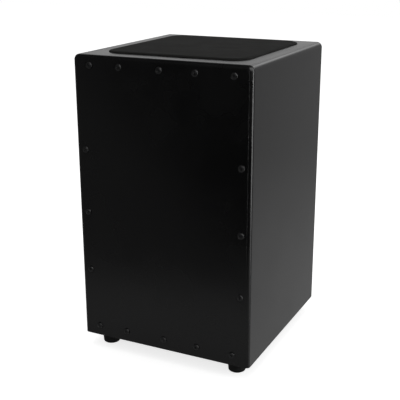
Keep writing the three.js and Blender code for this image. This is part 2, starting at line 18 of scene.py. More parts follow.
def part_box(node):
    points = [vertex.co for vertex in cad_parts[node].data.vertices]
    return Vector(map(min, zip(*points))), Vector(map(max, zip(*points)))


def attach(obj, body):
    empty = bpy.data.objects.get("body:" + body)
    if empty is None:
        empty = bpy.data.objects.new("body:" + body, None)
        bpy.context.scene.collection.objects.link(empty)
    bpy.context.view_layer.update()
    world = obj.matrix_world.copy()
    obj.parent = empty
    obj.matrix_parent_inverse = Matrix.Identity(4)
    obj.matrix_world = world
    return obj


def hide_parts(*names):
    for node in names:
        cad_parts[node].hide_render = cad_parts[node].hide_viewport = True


bl_info = {
    "name": "Snare cajon",
    "version": (1, 0, 0),
    "blender": (4, 5, 0),
    "location": "3D View > Sidebar > Cajon",
    "description": "Builds the lacquered box drum, its seat pad, its snare bar and the stage",
    "category": "Object",
}

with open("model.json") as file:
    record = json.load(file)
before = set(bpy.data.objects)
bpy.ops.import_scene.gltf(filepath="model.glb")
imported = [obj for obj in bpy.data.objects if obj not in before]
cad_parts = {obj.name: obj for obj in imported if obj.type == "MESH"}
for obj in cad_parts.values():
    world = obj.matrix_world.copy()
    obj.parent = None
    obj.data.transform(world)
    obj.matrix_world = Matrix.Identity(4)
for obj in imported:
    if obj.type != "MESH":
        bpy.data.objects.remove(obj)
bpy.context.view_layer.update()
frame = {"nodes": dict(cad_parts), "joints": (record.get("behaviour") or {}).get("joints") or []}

MM = 0.001
QUARTER = math.radians(90)
SHARP_ANGLE = math.radians(32)
WELD = 0.002 * MM
TOUCH = 0.01 * MM  # places closer than this count as one
SAME_POINT = 1e-7
HOLES_KEPT = 5  # delaunay_2d_cdt: whole faces inside the outline, with its holes left open
BODY = "cajon_body"
BAR = "snare_bar_assembly"
SIDES = ("left", "right")
CORNERS = ("front_left", "front_right", "rear_left", "rear_right")


def length(name, description, default):
    """A property for a size, whose default is given in millimetres."""
    return FloatProperty(name=name, description=description, default=default * MM, unit="LENGTH")


def angle(name, description, default):
    """A property for an angle, whose default is given in degrees."""
    return FloatProperty(
        name=name, description=description, default=math.radians(default), subtype="ANGLE"
    )


def power(name, description, default):
    """A property for a lamp's power, in watts."""
    return FloatProperty(name=name, description=description, default=default, unit="POWER")


def colour(name, description, default):
    """A property for a colour, as linear red, green and blue."""
    return FloatVectorProperty(
        name=name,
        description=description,
        default=default,
        subtype="COLOR",
        size=3,
        min=0,
        max=1,
    )


# What a user would change


class CajonBodySizes(bpy.types.PropertyGroup):
    """Sizes of the lacquered box that its solids don't give."""

    rim_radius: length("Rim radius", "Routed round the front and the back", 6)
    shoulder_radius: length("Shoulder radius", "Of the two top edges that run back", 9)
    joint_groove: length("Joint groove", "Width and depth of the line at a joint", 0.35)
    plate_groove: length("Plate groove", "Width and depth of the line round the plate", 0.1)
    rim_step: length("Rim step", "Depth of the step that the router leaves", 0.22)
    hole_edge: length("Hole edge", "Rounding of the sound hole's edges", 1.2)
    dimple: length("Screw dimple", "Depth to which a screw's head is pressed in", 0.35)
    arc_steps: IntProperty(name="Arc steps", description="Pieces in a rounding", default=10, min=3)


class CajonPadSizes(bpy.types.PropertyGroup):
    """Sizes of the seat pad."""

    corner_radius: length("Corner radius", "Of the pad's outline", 29)
    left_gap: length("Left gap", "From the pad to its solid's left side", 5.5)
    right_gap: length("Right gap", "From the pad to its solid's right side", 1.6)
    front_gap: length("Front gap", "From the pad to its solid's front", 6.5)
    top_gap: length("Top gap", "From the pad to its solid's top", 0.4)
    skirt: length("Skirt", "Height of the pad's upright edge", 0.9)
    slope: length("Slope", "Width of the sloping shoulder", 7)
    unevenness: length("Unevenness", "Rise and fall of the top", 0.16)


class CajonHardwareSizes(bpy.types.PropertyGroup):
    """Sizes of the screws, the feet and the lever."""

    head_radius: length("Plate screw head", "Radius of a plate screw's head", 5.2)
    foot_top: length("Foot top radius", "Where a foot meets the body", 15.3)
    foot_bottom: length("Foot bottom radius", "Where a foot meets the floor", 14)
    foot_rim: length("Foot rim", "Rounding of a foot's lower edge", 2.6)
    foot_web: length("Foot web", "Rubber under the washer", 6)
    knob_radius: length("Knob radius", "Of the ball on the lever", 13)


class CajonSnareSizes(bpy.types.PropertyGroup):
    """Sizes of the snare wires."""

    strands: IntProperty(name="Strands", description="In each set", default=20, min=1)
    pitch: length("Strand pitch", "Between neighbouring strands", 2.6)
    coil_radius: length("Coil radius", "Of a strand's curl, to its outside", 0.95)
    wire_radius: length("Wire radius", "Of the curled wire", 0.21)
    coil_pitch: length("Coil pitch", "Length of one turn of the curl", 1.7)
    lean: angle("Lean", "Of the wires' face towards the playing surface", 20)


class CajonColours(bpy.types.PropertyGroup):
    """Colours of the finishes."""

    lacquer: colour("Lacquer", "Black lacquer of the shell", (0.0085, 0.0085, 0.009))
    plate: colour("Playing surface", "Black lacquer of the plate", (0.0031, 0.0031, 0.0033))
    pad: colour("Pad", "Foam rubber of the seat pad", (0.0086, 0.0086, 0.0081))
    rubber: colour("Rubber", "Feet", (0.0032, 0.0032, 0.0032))
    screw: colour("Screw", "Black plated screws", (0.016, 0.016, 0.0165))
    raw: colour("Raw plywood", "Inside of the box", (0.56, 0.38, 0.21))
    beech: colour("Beech", "Bar and bearing blocks", (0.47, 0.26, 0.12))
    pine: colour("Pine", "Battens", (0.62, 0.42, 0.2))
    zinc: colour("Zinc", "Plated screws and strips", (0.55, 0.56, 0.58))
    wire: colour("Wire", "Snare wires", (0.66, 0.66, 0.67))
    felt: colour("Felt", "Friction washers", (0.11, 0.016, 0.018))
    knob: colour("Knob", "Ball on the lever", (0.006, 0.006, 0.006))


class CajonStageSizes(bpy.types.PropertyGroup):
    """The camera and the lights."""

    azimuth: angle("Azimuth", "Of the camera, from the front towards the right", 26.05)
    elevation: angle("Elevation", "Of the camera", 17.59)
    roll: angle("Roll", "Of the camera about its line of sight", -0.14)
    place: FloatVectorProperty(
        name="Camera place",
        description="Where the camera stands",
        default=(0.585, -1.2128, 0.6612),
        subtype="TRANSLATION",
        unit="LENGTH",
    )
    lens: FloatProperty(
        name="Lens", description="Focal length in millimetres", default=74.33, unit="CAMERA"
    )
    key_power: power("Key light", "Power of the large overhead lamp", 11)
    side_power: power("Side light", "Power of the lamp at the right", 7)
    soft_box: FloatProperty(
        name="Soft box", description="Brightness of the mirrored soft box behind", default=1.1
    )


# Materials


class Signal:
    """An output of a shader node. An expression on signals adds the Math nodes that it needs."""

    def __init__(self, finish, socket):
        self.finish = finish
        self.socket = socket

    def __add__(self, other):
        return self.finish.maths("ADD", self, other)

    def __sub__(self, other):
        return self.finish.maths("SUBTRACT", self, other)

    def __rsub__(self, other):
        return self.finish.maths("SUBTRACT", other, self)

    def __mul__(self, other):
        return self.finish.maths("MULTIPLY", self, other)

    __radd__ = __add__
    __rmul__ = __mul__


class Finish:
    """A procedural material, or the world's, and what its nodes are made with."""

    def __init__(self, name, tree=None):
        if tree is None:
            self.material = bpy.data.materials.new(name)
            self.material.use_nodes = True
            tree = self.material.node_tree
        self.tree = tree
        self.tree.nodes.clear()

    def node(self, kind, settings=None, inputs=None, output=0):
        """Adds a node, sets its settings, then fills or links its sockets."""
        made = self.tree.nodes.new(kind)
        for name, value in (settings or {}).items():
            setattr(made, name, value)
        for name, value in (inputs or {}).items():
            if isinstance(value, Signal):
                self.tree.links.new(value.socket, made.inputs[name])
            else:
                made.inputs[name].default_value = value
        return Signal(self, made.outputs[output]) if made.outputs else None

    def maths(self, operation, *values):
        return self.node("ShaderNodeMath", {"operation": operation}, dict(enumerate(values)))

    def vector_maths(self, operation, *values, output=0):
        settings = {"operation": operation}
        return self.node("ShaderNodeVectorMath", settings, dict(enumerate(values)), output)

    def axis(self, vector, letter):
        """A vector's part along X, Y or Z."""
        return self.node("ShaderNodeSeparateXYZ", {}, {0: vector}, letter)

    def ray(self, kind):
        """1 where the surface is seen by a ray of a kind, and 0 elsewhere."""
        return self.node("ShaderNodeLightPath", output=f"Is {kind} Ray")

    def place(self):
        """The point on the object, in metres."""
        return self.node("ShaderNodeTexCoord", output="Object")

    def stretched(self, scale, turn=(0, 0, 0)):
        """The point on the object, turned and scaled along each axis."""
        return self.node(
            "ShaderNodeMapping",
            {"vector_type": "POINT"},
            {"Vector": self.place(), "Rotation": turn, "Scale": scale},
        )

    def noise(self, vector, scale=1.0, detail=2.0, roughness=0.5, distortion=0.0):
        return self.node(
            "ShaderNodeTexNoise",
            {"noise_dimensions": "3D"},
            {
                "Vector": vector,
                "Scale": scale,
                "Detail": detail,
                "Roughness": roughness,
                "Distortion": distortion,
            },
            "Fac",
        )

    def spread(self, value, low, high, to_low=0.0, to_high=1.0):
        """The share of the way from low to high, smoothed, as a number between two others."""
        return self.node(
            "ShaderNodeMapRange",
            {"interpolation_type": "SMOOTHSTEP"},
            {
                "Value": value,
                "From Min": low,
                "From Max": high,
                "To Min": to_low,
                "To Max": to_high,
            },
        )

    def blend(self, share, first, second):
        """A colour between two colours."""
        return self.node(
            "ShaderNodeMix",
            {"data_type": "RGBA", "clamp_factor": True},
            {0: share, 6: (*first, 1), 7: (*second, 1)},
            2,
        )

    def bump(self, height, depth, strength):
        inputs = {"Height": height, "Distance": depth, "Strength": strength}
        return self.node("ShaderNodeBump", {}, inputs)

    def surface(self, **inputs):
        """Ends the material with one surface shader. Names are its sockets, with _ for a space."""
        named = {name.replace("_", " "): value for name, value in inputs.items()}
        shader = self.node("ShaderNodeBsdfPrincipled", {}, named)
        self.node("ShaderNodeOutputMaterial", {}, {"Surface": shader})
        return self.material


def shade(value, factor):
    """A colour made darker or lighter."""
    return tuple(min(1.0, part * factor) for part in value)


def lacquer(name, tone, gloss, grain_turn, peel):
    """Satin lacquer over plywood: faint veneer grain and orange peel, with hazy patches."""
    finish = Finish(name)
    grain = finish.noise(finish.stretched((520, 520, 9), grain_turn), detail=3, roughness=0.6)
    skin = finish.noise(finish.place(), 620, roughness=0.55)
    patches = finish.noise(finish.place(), 11, detail=3, roughness=0.6)
    specks = finish.spread(finish.noise(finish.place(), 1500, detail=1), 0.72, 0.8)
    haze = finish.spread(patches, 0.35, 0.7, gloss - 0.035, gloss + 0.045)
    mottle = patches * 0.5 + grain * 0.4 + specks * 0.5
    return finish.surface(
        Base_Color=finish.blend(mottle, shade(tone, 0.8), shade(tone, 1.5)),
        Roughness=haze + specks * 0.2,
        Normal=finish.bump(grain * 0.45 + skin * peel, 0.05 * MM, 0.5),
        IOR=1.5,
    )


def foam_rubber(name, tone):
    """Matte rubber with a fine closed-cell grain and a faint bloom."""
    finish = Finish(name)
    cells = finish.node(
        "ShaderNodeTexVoronoi",
        {"feature": "SMOOTH_F1"},
        {"Vector": finish.place(), "Scale": 1100, "Smoothness": 0.6},
        "Distance",
    )
    fine = finish.noise(finish.place(), 2300, roughness=0.6)
    bloom = finish.noise(finish.place(), 16, detail=4, roughness=0.6, distortion=0.5)
    worn = finish.spread(bloom, 0.4, 0.68)
    return finish.surface(
        Base_Color=finish.blend(worn * 0.6 + fine * 0.4, shade(tone, 0.85), shade(tone, 1.25)),
        Roughness=finish.spread(bloom, 0.3, 0.7, 0.78, 0.9),
        Normal=finish.bump(cells * 0.7 + fine * 0.5, 0.12 * MM, 0.7),
        Specular_IOR_Level=0.12,
    )


def moulded_rubber(name, tone):
    """Dull rubber from a mould, with pale dust on it in places."""
    finish = Finish(name)
    fine = finish.noise(finish.place(), 1700, detail=3, roughness=0.6)
    dust = finish.noise(finish.place(), 90, detail=3, roughness=0.6)
    return finish.surface(
        Base_Color=finish.blend(finish.spread(dust, 0.45, 0.75), tone, shade(tone, 2.2)),
        Specular_IOR_Level=0.22,
        Roughness=finish.spread(dust, 0.3, 0.7, 0.52, 0.7),
        Normal=finish.bump(fine, 0.06 * MM, 0.6),
    )


def plated_metal(name, tone, roughness, metallic=1.0):
    """Plated steel with fine marks from the tools and a cloudy finish."""
    finish = Finish(name)
    marks = finish.noise(finish.stretched((900, 900, 9000)))
    cloud = finish.noise(finish.place(), 260, detail=3, roughness=0.6)
    return finish.surface(
        Base_Color=finish.blend(cloud, shade(tone, 0.8), shade(tone, 1.15)),
        Roughness=finish.spread(cloud, 0.3, 0.7, roughness - 0.07, roughness + 0.09),
        Metallic=metallic,
        Normal=finish.bump(marks * 0.4 + cloud * 0.3, 0.02 * MM, 0.5),
    )


def open_wood(name, tone, turn, ring_scale, pore_scale, contrast):
    """Bare wood: growth rings, fibres and short dark pores along one direction."""
    finish = Finish(name)
    along = finish.stretched((1, 1, 0.045), turn)
    drift = finish.noise(along, 60, detail=3, roughness=0.6)
    rings = finish.node(
        "ShaderNodeTexWave",
        {"wave_type": "BANDS", "bands_direction": "X", "wave_profile": "SAW"},
        {
            "Vector": along,
            "Scale": ring_scale,
            "Distortion": 5.5,
            "Detail": 2,
            "Detail Scale": 1.4,
        },
        "Fac",
    )
    fibres = finish.noise(finish.stretched((1300, 1300, 26), turn), roughness=0.6)
    pore_scales = (pore_scale, pore_scale, pore_scale / 16)
    pores = finish.spread(finish.noise(finish.stretched(pore_scales, turn), detail=1), 0.66, 0.76)
    figure = rings * 0.45 + drift * 0.35 + fibres * 0.3 + pores * 0.25
    return finish.surface(
        Base_Color=finish.blend(figure, shade(tone, 1 + contrast * 0.5), shade(tone, 1 - contrast)),
        Roughness=finish.spread(fibres + rings * 0.3, 0.3, 1.0, 0.52, 0.72),
        Normal=finish.bump(fibres * 0.6 - pores, 0.08 * MM, 0.6),
    )


def ply_edge(name, tone, front, thickness, plies):
    """The cut edge of plywood whose layers lie across Y: light face grain, darker end grain."""
    finish = Finish(name)
    depth = finish.axis(finish.place(), "Y")
    wander = finish.noise(finish.place(), 45) - 0.5
    layer = (depth - front + wander * 0.35 * MM) * (plies / thickness)
    parity = finish.spread(finish.maths("PINGPONG", layer * 0.5, 0.5), 0.2, 0.3)
    glue = finish.spread(finish.maths("PINGPONG", layer, 0.5), 0.0, 0.07, 0.45, 0)
    fibres = finish.noise(finish.place(), 1400, detail=3, roughness=0.7)
    figure = parity * 0.55 + fibres * 0.25 + glue
    return finish.surface(
        Base_Color=finish.blend(figure, shade(tone, 1.05), shade(tone, 0.38)),
        Roughness=finish.spread(fibres, 0.3, 0.7, 0.6, 0.78),
        Normal=finish.bump(fibres + parity * 0.4, 0.1 * MM, 0.7),
    )


def pressed_felt(name, tone):
    """Wool felt: fine hairs over soft tufts."""
    finish = Finish(name)
    hairs = finish.noise(finish.place(), 2600, detail=4, roughness=0.75, distortion=1.5)
    tufts = finish.noise(finish.place(), 420)
    return finish.surface(
        Base_Color=finish.blend(hairs * 0.7 + tufts * 0.3, shade(tone, 0.6), shade(tone, 1.6)),
        Roughness=finish.spread(tufts, 0.3, 0.7, 0.88, 0.98),
        Normal=finish.bump(hairs, 0.25 * MM, 0.9),
        Sheen_Weight=0.25,
    )


def polished_ball(name, tone):
    """Glossy moulded plastic with the smears of a hand."""
    finish = Finish(name)
    smears = finish.noise(finish.place(), 70, detail=4, roughness=0.6, distortion=1.0)
    return finish.surface(
        Base_Color=finish.blend(smears, shade(tone, 0.8), shade(tone, 1.5)),
        Roughness=finish.spread(smears, 0.35, 0.7, 0.12, 0.3),
        Normal=finish.bump(smears, 0.03 * MM, 0.4),
        Coat_Weight=0.3,
    )


def make_finishes(colours):
    """All of the object's materials, by name."""
    upright = (0, 0, 0)
    across = (0, QUARTER, 0)
    backwards = (QUARTER, 0, 0)
    plywood = (34, 1500, 0.32)  # scale of the rings, scale of the pores, contrast
    beech = (52, 1900, 0.4)
    pine = (70, 1200, 0.45)
    plies = 5
    panel_low, panel_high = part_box("rear_panel")
    panel = (panel_low.y, panel_high.y - panel_low.y)
    return {
        "shell": lacquer("shell lacquer", colours.lacquer, 0.19, upright, 0.5),
        "top": lacquer("top lacquer", colours.lacquer, 0.19, backwards, 0.5),
        "plate": lacquer("plate lacquer", colours.plate, 0.26, upright, 0.4),
        "pad": foam_rubber("pad rubber", colours.pad),
        "rubber": moulded_rubber("foot rubber", colours.rubber),
        "black_screw": plated_metal("black screw", colours.screw, 0.36, 0.25),
        "raw": open_wood("raw plywood", colours.raw, upright, *plywood),
        "raw_top": open_wood("raw plywood top", colours.raw, backwards, *plywood),
        "ply_edge": ply_edge("plywood edge", colours.raw, *panel, plies),
        "beech": open_wood("beech", colours.beech, across, *beech),
        "beech_block": open_wood("beech block", colours.beech, upright, *beech),
        "pine": open_wood("pine", colours.pine, upright, *pine),
        "pine_across": open_wood("pine across", colours.pine, across, *pine),
        "zinc": plated_metal("zinc plate", colours.zinc, 0.32),
        "wire": plated_metal("snare wire", colours.wire, 0.22),
        "felt": pressed_felt("red felt", colours.felt),
        "knob": polished_ball("knob", colours.knob),
    }


# Mesh tools


def at_depth(y, points):
    """The points of a section, put at their place along Y."""
    return [(x, y, z) for x, z in points]


def circle(x, z, radius, steps):
    return [
        (x + radius * math.cos(turn), z + radius * math.sin(turn))
        for turn in (2 * math.pi * i / steps for i in range(steps))
    ]


def rounding(radius, steps, end=QUARTER):
    """Points of an arc: how far each is drawn in, and its depth, from the face that it leaves."""
    turns = [end * i / steps for i in range(steps + 1)]
    return [(radius * (1 - math.sin(turn)), radius * (1 - math.cos(turn))) for turn in turns]


def rounded_rectangle(half_width, low, high, radii, steps):
    """Points round a rectangle that is centred across. Radii start at its lower left corner."""
    corners = [
        (half_width, low, radii[1], -90),
        (half_width, high, radii[2], 0),
        (-half_width, high, radii[3], 90),
        (-half_width, low, radii[0], 180),
    ]
    points = []
    for x, z, radius, start in corners:
        if radius <= 0:
            points.append((x, z))
            continue
        centre_x = x - math.copysign(radius, x)
        centre_z = z - radius if z == high else z + radius
        for i in range(steps + 1):
            turn = math.radians(start + 90 * i / steps)
            points.append((centre_x + radius * math.cos(turn), centre_z + radius * math.sin(turn)))
    return points


def ring_of(mesh, points):
    return [mesh.verts.new(point) for point in points]


def bridge(mesh, rings, material=0):
    """Joins rings of as many points each with four-sided faces."""
    for first, second in zip(rings, rings[1:]):
        for i in range(len(first)):
            j = (i + 1) % len(first)
            face = mesh.faces.new((first[i], first[j], second[j], second[i]))
            face.material_index = material


def loft(mesh, loops):
    """A closed solid through loops of points."""
    rings = [ring_of(mesh, loop) for loop in loops]
    bridge(mesh, rings)
    mesh.faces.new(rings[0])
    mesh.faces.new(rings[-1])


def turned(mesh, profile, steps, place):
    """A closed solid of revolution from [radius, height] pairs, put in place by a matrix."""
    turns = [2 * math.pi * i / steps for i in range(steps)]
    rings = []
    for radius, height in profile:
        ring = [(radius * math.cos(turn), radius * math.sin(turn), height) for turn in turns]
        if radius == 0:
            ring = [(0, 0, height)]
        rings.append(ring_of(mesh, [place @ Vector(point) for point in ring]))
    for first, second in zip(rings, rings[1:]):
        if len(first) == 1 and len(second) == 1:
            continue
        for i in range(steps):
            j = (i + 1) % steps
            if len(first) == 1:
                corners = (first[0], second[j], second[i])
            elif len(second) == 1:
                corners = (first[i], first[j], second[0])
            else:
                corners = (first[i], first[j], second[j], second[i])
            mesh.faces.new(corners)


def holed_face(mesh, outline, holes, material=0):
    """Fills an outline of vertices around holes of vertices, all in one plane across Y."""
    vertices = []
    rings = []
    for ring in [outline, *holes]:
        rings.append(list(range(len(vertices), len(vertices) + len(ring))))
        vertices.extend(ring)
    flat = [Vector((vertex.co.x, vertex.co.z)) for vertex in vertices]
    points, _, faces, sources, _, _ = delaunay_2d_cdt(flat, [], rings, HOLES_KEPT, SAME_POINT)
    if len(points) != len(vertices):
        raise RuntimeError("the outline and the holes of a face meet")
    made = [vertices[source[0]] for source in sources]
    for corners in faces:
        mesh.faces.new([made[i] for i in corners]).material_index = material


def finish_mesh(mesh):
    """Welds the mesh, turns its faces outwards and shades it smooth up to a sharp angle."""
    bmesh.ops.remove_doubles(mesh, verts=mesh.verts, dist=WELD)
    bmesh.ops.dissolve_degenerate(mesh, edges=mesh.edges, dist=WELD)
    bmesh.ops.recalc_face_normals(mesh, faces=mesh.faces)
    for edge in mesh.edges:
        edge.smooth = len(edge.link_faces) == 2 and edge.calc_face_angle(0) < SHARP_ANGLE
    for face in mesh.faces:
        face.smooth = True


def data_of(mesh, name):
    """The finished mesh as mesh data that objects can share."""
    finish_mesh(mesh)
    data = bpy.data.meshes.new(name)
    mesh.to_mesh(data)
    mesh.free()
    return data


def object_of(data, name):
    made = bpy.data.objects.new(name, data)
    bpy.context.scene.collection.objects.link(made)
    return made


def add_piece(name, mesh, materials, body=BODY, replaces=(), weighted=True):
    """Makes an object of the mesh, gives it its materials and lets it ride on a body."""
    return add_copy(name, data_of(mesh, name), materials, Matrix(), body, replaces, weighted)


def add_copy(name, data, materials, place, body, replaces, weighted=True):
    """Adds a piece with mesh data that others may share, put in place by a matrix."""
    piece = object_of(data, name)
    piece.matrix_world = place
    if not data.materials:
        for material in materials:
            data.materials.append(material)
    if weighted:
        normals = piece.modifiers.new("even shading", "WEIGHTED_NORMAL")
        normals.keep_sharp = True
    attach(piece, body)
    if replaces:
        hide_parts(*replaces)
    return piece


def dress(node, material):
    """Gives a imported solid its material."""
    solid = frame["nodes"][node]
    solid.data.materials.clear()
    solid.data.materials.append(material)


def middle_of(node):
    """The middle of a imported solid's box."""
    low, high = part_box(node)
    return (low + high) / 2


# The body

BARE = 1  # a board's materials: 0 is lacquer, then bare wood and the cut edge
CUT = 2
STEP_REACH = 0.4  # how far past the rim the router's step runs on, as a share of its depth
STEP_STEPS = 4
PLATE_BORE = 2.3 * MM
DIMPLE_STEPS = 28
DIMPLE_SLOPE = ((6.6 * MM, 0), (6.1 * MM, 0.5), (5.7 * MM, 1))  # radius, share of the depth
HOLE_STEPS = 96
HOLE_EDGE_STEPS = 6
INNER_EDGE = 0.4  # rounding of the sound hole's inner edge, as a share of the outer edge's
PANEL_MARGIN = 20 * MM  # vertices of the rear panel further in than this are the sound hole's


class Shell:
    """Where the faces of the box stand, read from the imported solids."""

    def __init__(self, sizes):
        plate_low, plate_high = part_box("front_plate")
        panel_low, panel_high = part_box("rear_panel")
        side_low, side_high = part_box("right_side_panel")
        top_low, top_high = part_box("top_panel")
        self.sizes = sizes
        self.front = plate_low.y
        self.plate_back = plate_high.y
        self.panel_front = panel_low.y
        self.back = panel_high.y
        self.under = plate_low.z
        self.roof = top_high.z
        self.ceiling = top_low.z
        self.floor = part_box("bottom_panel")[1].z
        self.half_width = side_high.x
        self.inner = side_low.x
        self.lap = panel_high.x
        self.panel_bottom = panel_low.z
        self.panel_top = panel_high.z

    def inset(self, y):
        """How far the rim's rounding draws the outside in at a place between front and back."""
        radius = self.sizes.rim_radius
        depth = min(y - self.front, self.back - y)
        if depth >= radius:
            return 0.0
        return radius - math.sqrt(max(0.0, radius**2 - (radius - depth) ** 2))

    def rim_places(self, start, end, face):
        """Places along Y on the rounding at a face, from a start to an end."""
        sign = 1 if face == self.front else -1
        arc = rounding(self.sizes.rim_radius, self.sizes.arc_steps)
        return sorted(y for y in (face + sign * depth for _, depth in arc) if start <= y <= end)

    def board_places(self):
        """The places along Y at which the boards are drawn, with their inset there."""
        groove = self.sizes.plate_groove
        first = self.plate_back + groove
        middle = (self.front + self.back) / 2
        places = [first]
        places += self.rim_places(first + groove, middle, self.front)
        places += self.rim_places(middle, self.back, self.back)
        start = (self.plate_back, self.inset(self.plate_back) + groove)
        return [start, *((y, self.inset(y)) for y in places)]

    def outline(self, inset):
        """The outside of the box from the front, drawn in by a distance but for its underside."""
        radius = max(self.sizes.shoulder_radius - inset, MM)
        return rounded_rectangle(
            self.half_width - inset,
            self.under,
            self.roof - inset,
            (0, 0, radius, radius),
            self.sizes.arc_steps,
        )

    def shoulder(self, inset, start_x, end_x):
        """Points on the right shoulder's arc between two places across."""
        radius = self.sizes.shoulder_radius - inset
        centre_x = self.half_width - self.sizes.shoulder_radius
        centre_z = self.roof - self.sizes.shoulder_radius
        start, end = (
            math.acos(max(-1.0, min(1.0, (x - centre_x) / radius))) for x in (start_x, end_x)
        )
        steps = self.sizes.arc_steps
        return [
            (centre_x + radius * math.cos(turn), centre_z + radius * math.sin(turn))
            for turn in (start + (end - start) * i / steps for i in range(steps + 1))
        ]


def board_mesh(loops, axis, bare):
    """A board through its sections, left bare on the face at a distance along an axis."""
    mesh = bmesh.new()
    loft(mesh, loops)
    for face in mesh.faces:
        if abs(abs(face.calc_center_median()[axis]) - bare) < TOUCH:
            face.material_index = BARE
    return mesh


def side_board(shell, side):
    """One side board: let into by the top and the bottom boards, and rebated at the back."""
    groove = shell.sizes.joint_groove
    loops = []
    for y, inset in shell.board_places():
        outer = shell.half_width - inset
        joint = min(shell.lap + groove, outer)
        arc = shell.shoulder(inset, outer, joint)
        inner = shell.inner if y <= shell.panel_front else shell.lap
        section = [
            (outer, shell.under),
            *arc,
            (shell.lap, max(arc[-1][1] - groove, shell.panel_top)),
            (shell.lap, shell.ceiling),
            (inner, shell.ceiling),
            (inner, shell.floor),
            (shell.lap, shell.floor),
            (shell.lap, shell.under + groove),
            (joint, shell.under),
        ]
        loops.append(at_depth(y, [(side * x, z) for x, z in section]))
        if abs(y - shell.panel_front) < TOUCH:
            rebated = [(side * max(x, shell.lap), z) for x, z in section]
            loops.append(at_depth(y, rebated))
    return board_mesh(loops, 0, shell.inner)


def upper_board(shell):
    """The top board, let into the side boards, with its part of both shoulders."""
    groove = shell.sizes.joint_groove
    centre_x = shell.half_width - shell.sizes.shoulder_radius
    loops = []
    for y, inset in shell.board_places():
        reach = shell.sizes.shoulder_radius - inset
        joint = min(shell.lap - groove, centre_x + reach)
        arc = shell.shoulder(inset, joint, centre_x)
        base = shell.ceiling if y <= shell.panel_front else shell.panel_top
        half = [(shell.lap, base), (shell.lap, max(arc[0][1] - groove, shell.panel_top)), *arc]
        section = half + [(-x, z) for x, z in reversed(half)]
        loops.append(at_depth(y, section))
        if abs(y - shell.panel_front) < TOUCH:
            loops.append(at_depth(y, [(x, max(z, shell.panel_top)) for x, z in section]))
    return board_mesh(loops, 2, shell.ceiling)


def lower_board(shell):
    """The bottom board, between the side boards, rebated at the back."""
    groove = shell.sizes.joint_groove
    places = [
        (shell.plate_back, groove, shell.floor),
        (shell.plate_back + groove, 0, shell.floor),
        (shell.panel_front, 0, shell.floor),
        (shell.panel_front, 0, shell.panel_bottom),
        (shell.back - groove, 0, shell.panel_bottom),
        (shell.back, groove, shell.panel_bottom),
    ]
    loops = []
    for y, drawn_in, roof in places:
        low = shell.under + drawn_in
        half = [(shell.lap - groove, low), (shell.lap, low + groove), (shell.lap, roof)]
        loops.append(at_depth(y, [(-x, z) for x, z in reversed(half)] + half))
    return board_mesh(loops, 2, shell.floor)


def rear_board(shell):
    """The rear panel with its sound hole: lacquered behind, bare inside and on the cut edge."""
    groove = shell.sizes.joint_groove
    mesh = bmesh.new()
    levels = [(shell.panel_front, 0), (shell.back - groove, 0), (shell.back, groove)]
    sides = []
    for y, drawn_in in levels:
        reach = shell.lap - drawn_in
        low, high = shell.panel_bottom + drawn_in, shell.panel_top - drawn_in
        outline = [(reach, low), (reach, high), (-reach, high), (-reach, low)]
        sides.append(ring_of(mesh, at_depth(y, outline)))
    bridge(mesh, sides)
    centre_z, radius = sound_hole()
    arc = rounding(shell.sizes.hole_edge, HOLE_EDGE_STEPS)
    wall = [(shell.back - depth, radius + wider) for wider, depth in arc]
    wall += [
        (shell.panel_front + depth * INNER_EDGE, radius + wider * INNER_EDGE)
        for wider, depth in reversed(arc)
    ]
    rings = [
        ring_of(mesh, at_depth(y, circle(0, centre_z, reach, HOLE_STEPS))) for y, reach in wall
    ]
    bridge(mesh, rings, CUT)
    holed_face(mesh, sides[-1], [rings[0]])
    holed_face(mesh, sides[0], [rings[-1]], BARE)
    return mesh


def sound_hole():
    """The height of the sound hole's middle and its radius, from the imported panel's vertices."""
    low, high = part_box("rear_panel")
    rim = [
        (vertex.co.x, vertex.co.z)
        for vertex in frame["nodes"]["rear_panel"].data.vertices
        if abs(vertex.co.x) < high.x - PANEL_MARGIN
        and low.z + PANEL_MARGIN < vertex.co.z < high.z - PANEL_MARGIN
    ]
    heights = [z for _, z in rim]
    middle = (min(heights) + max(heights)) / 2
    return middle, max(math.hypot(x, z - middle) for x, z in rim)


def playing_surface(shell, screws, dimple):
    """The front plate: a flat face with a dimple at each screw, and its part of the rim."""
    sizes = shell.sizes
    step = sizes.rim_step
    radius = sizes.rim_radius
    thickness = shell.plate_back - shell.front
    foot = radius + step * STEP_REACH
    profile = [(foot + inset, depth) for inset, depth in rounding(step, STEP_STEPS)]
    arc = radius - step
    end = math.acos((radius - thickness) / arc)
    profile += [(inset, step + depth) for inset, depth in rounding(arc, sizes.arc_steps, end)]
    back_inset = profile[-1][0]
    profile[-1] = (back_inset, thickness - sizes.plate_groove)
    profile.append((back_inset + sizes.plate_groove, thickness))
    mesh = bmesh.new()
    rings = [
        ring_of(mesh, at_depth(shell.front + depth, shell.outline(inset)))
        for inset, depth in profile
    ]
    bridge(mesh, rings)
    levels = [(wide, dimple * share) for wide, share in DIMPLE_SLOPE]
    levels += [(PLATE_BORE, dimple), (PLATE_BORE, thickness)]
    fronts = []
    backs = []
    for x, z in screws:
        walls = [
            ring_of(mesh, at_depth(shell.front + depth, circle(x, z, wide, DIMPLE_STEPS)))
            for wide, depth in levels
        ]
        bridge(mesh, walls)
        fronts.append(walls[0])
        backs.append(walls[-1])
    holed_face(mesh, rings[0], fronts)
    holed_face(mesh, rings[-1], backs, BARE)
    return mesh


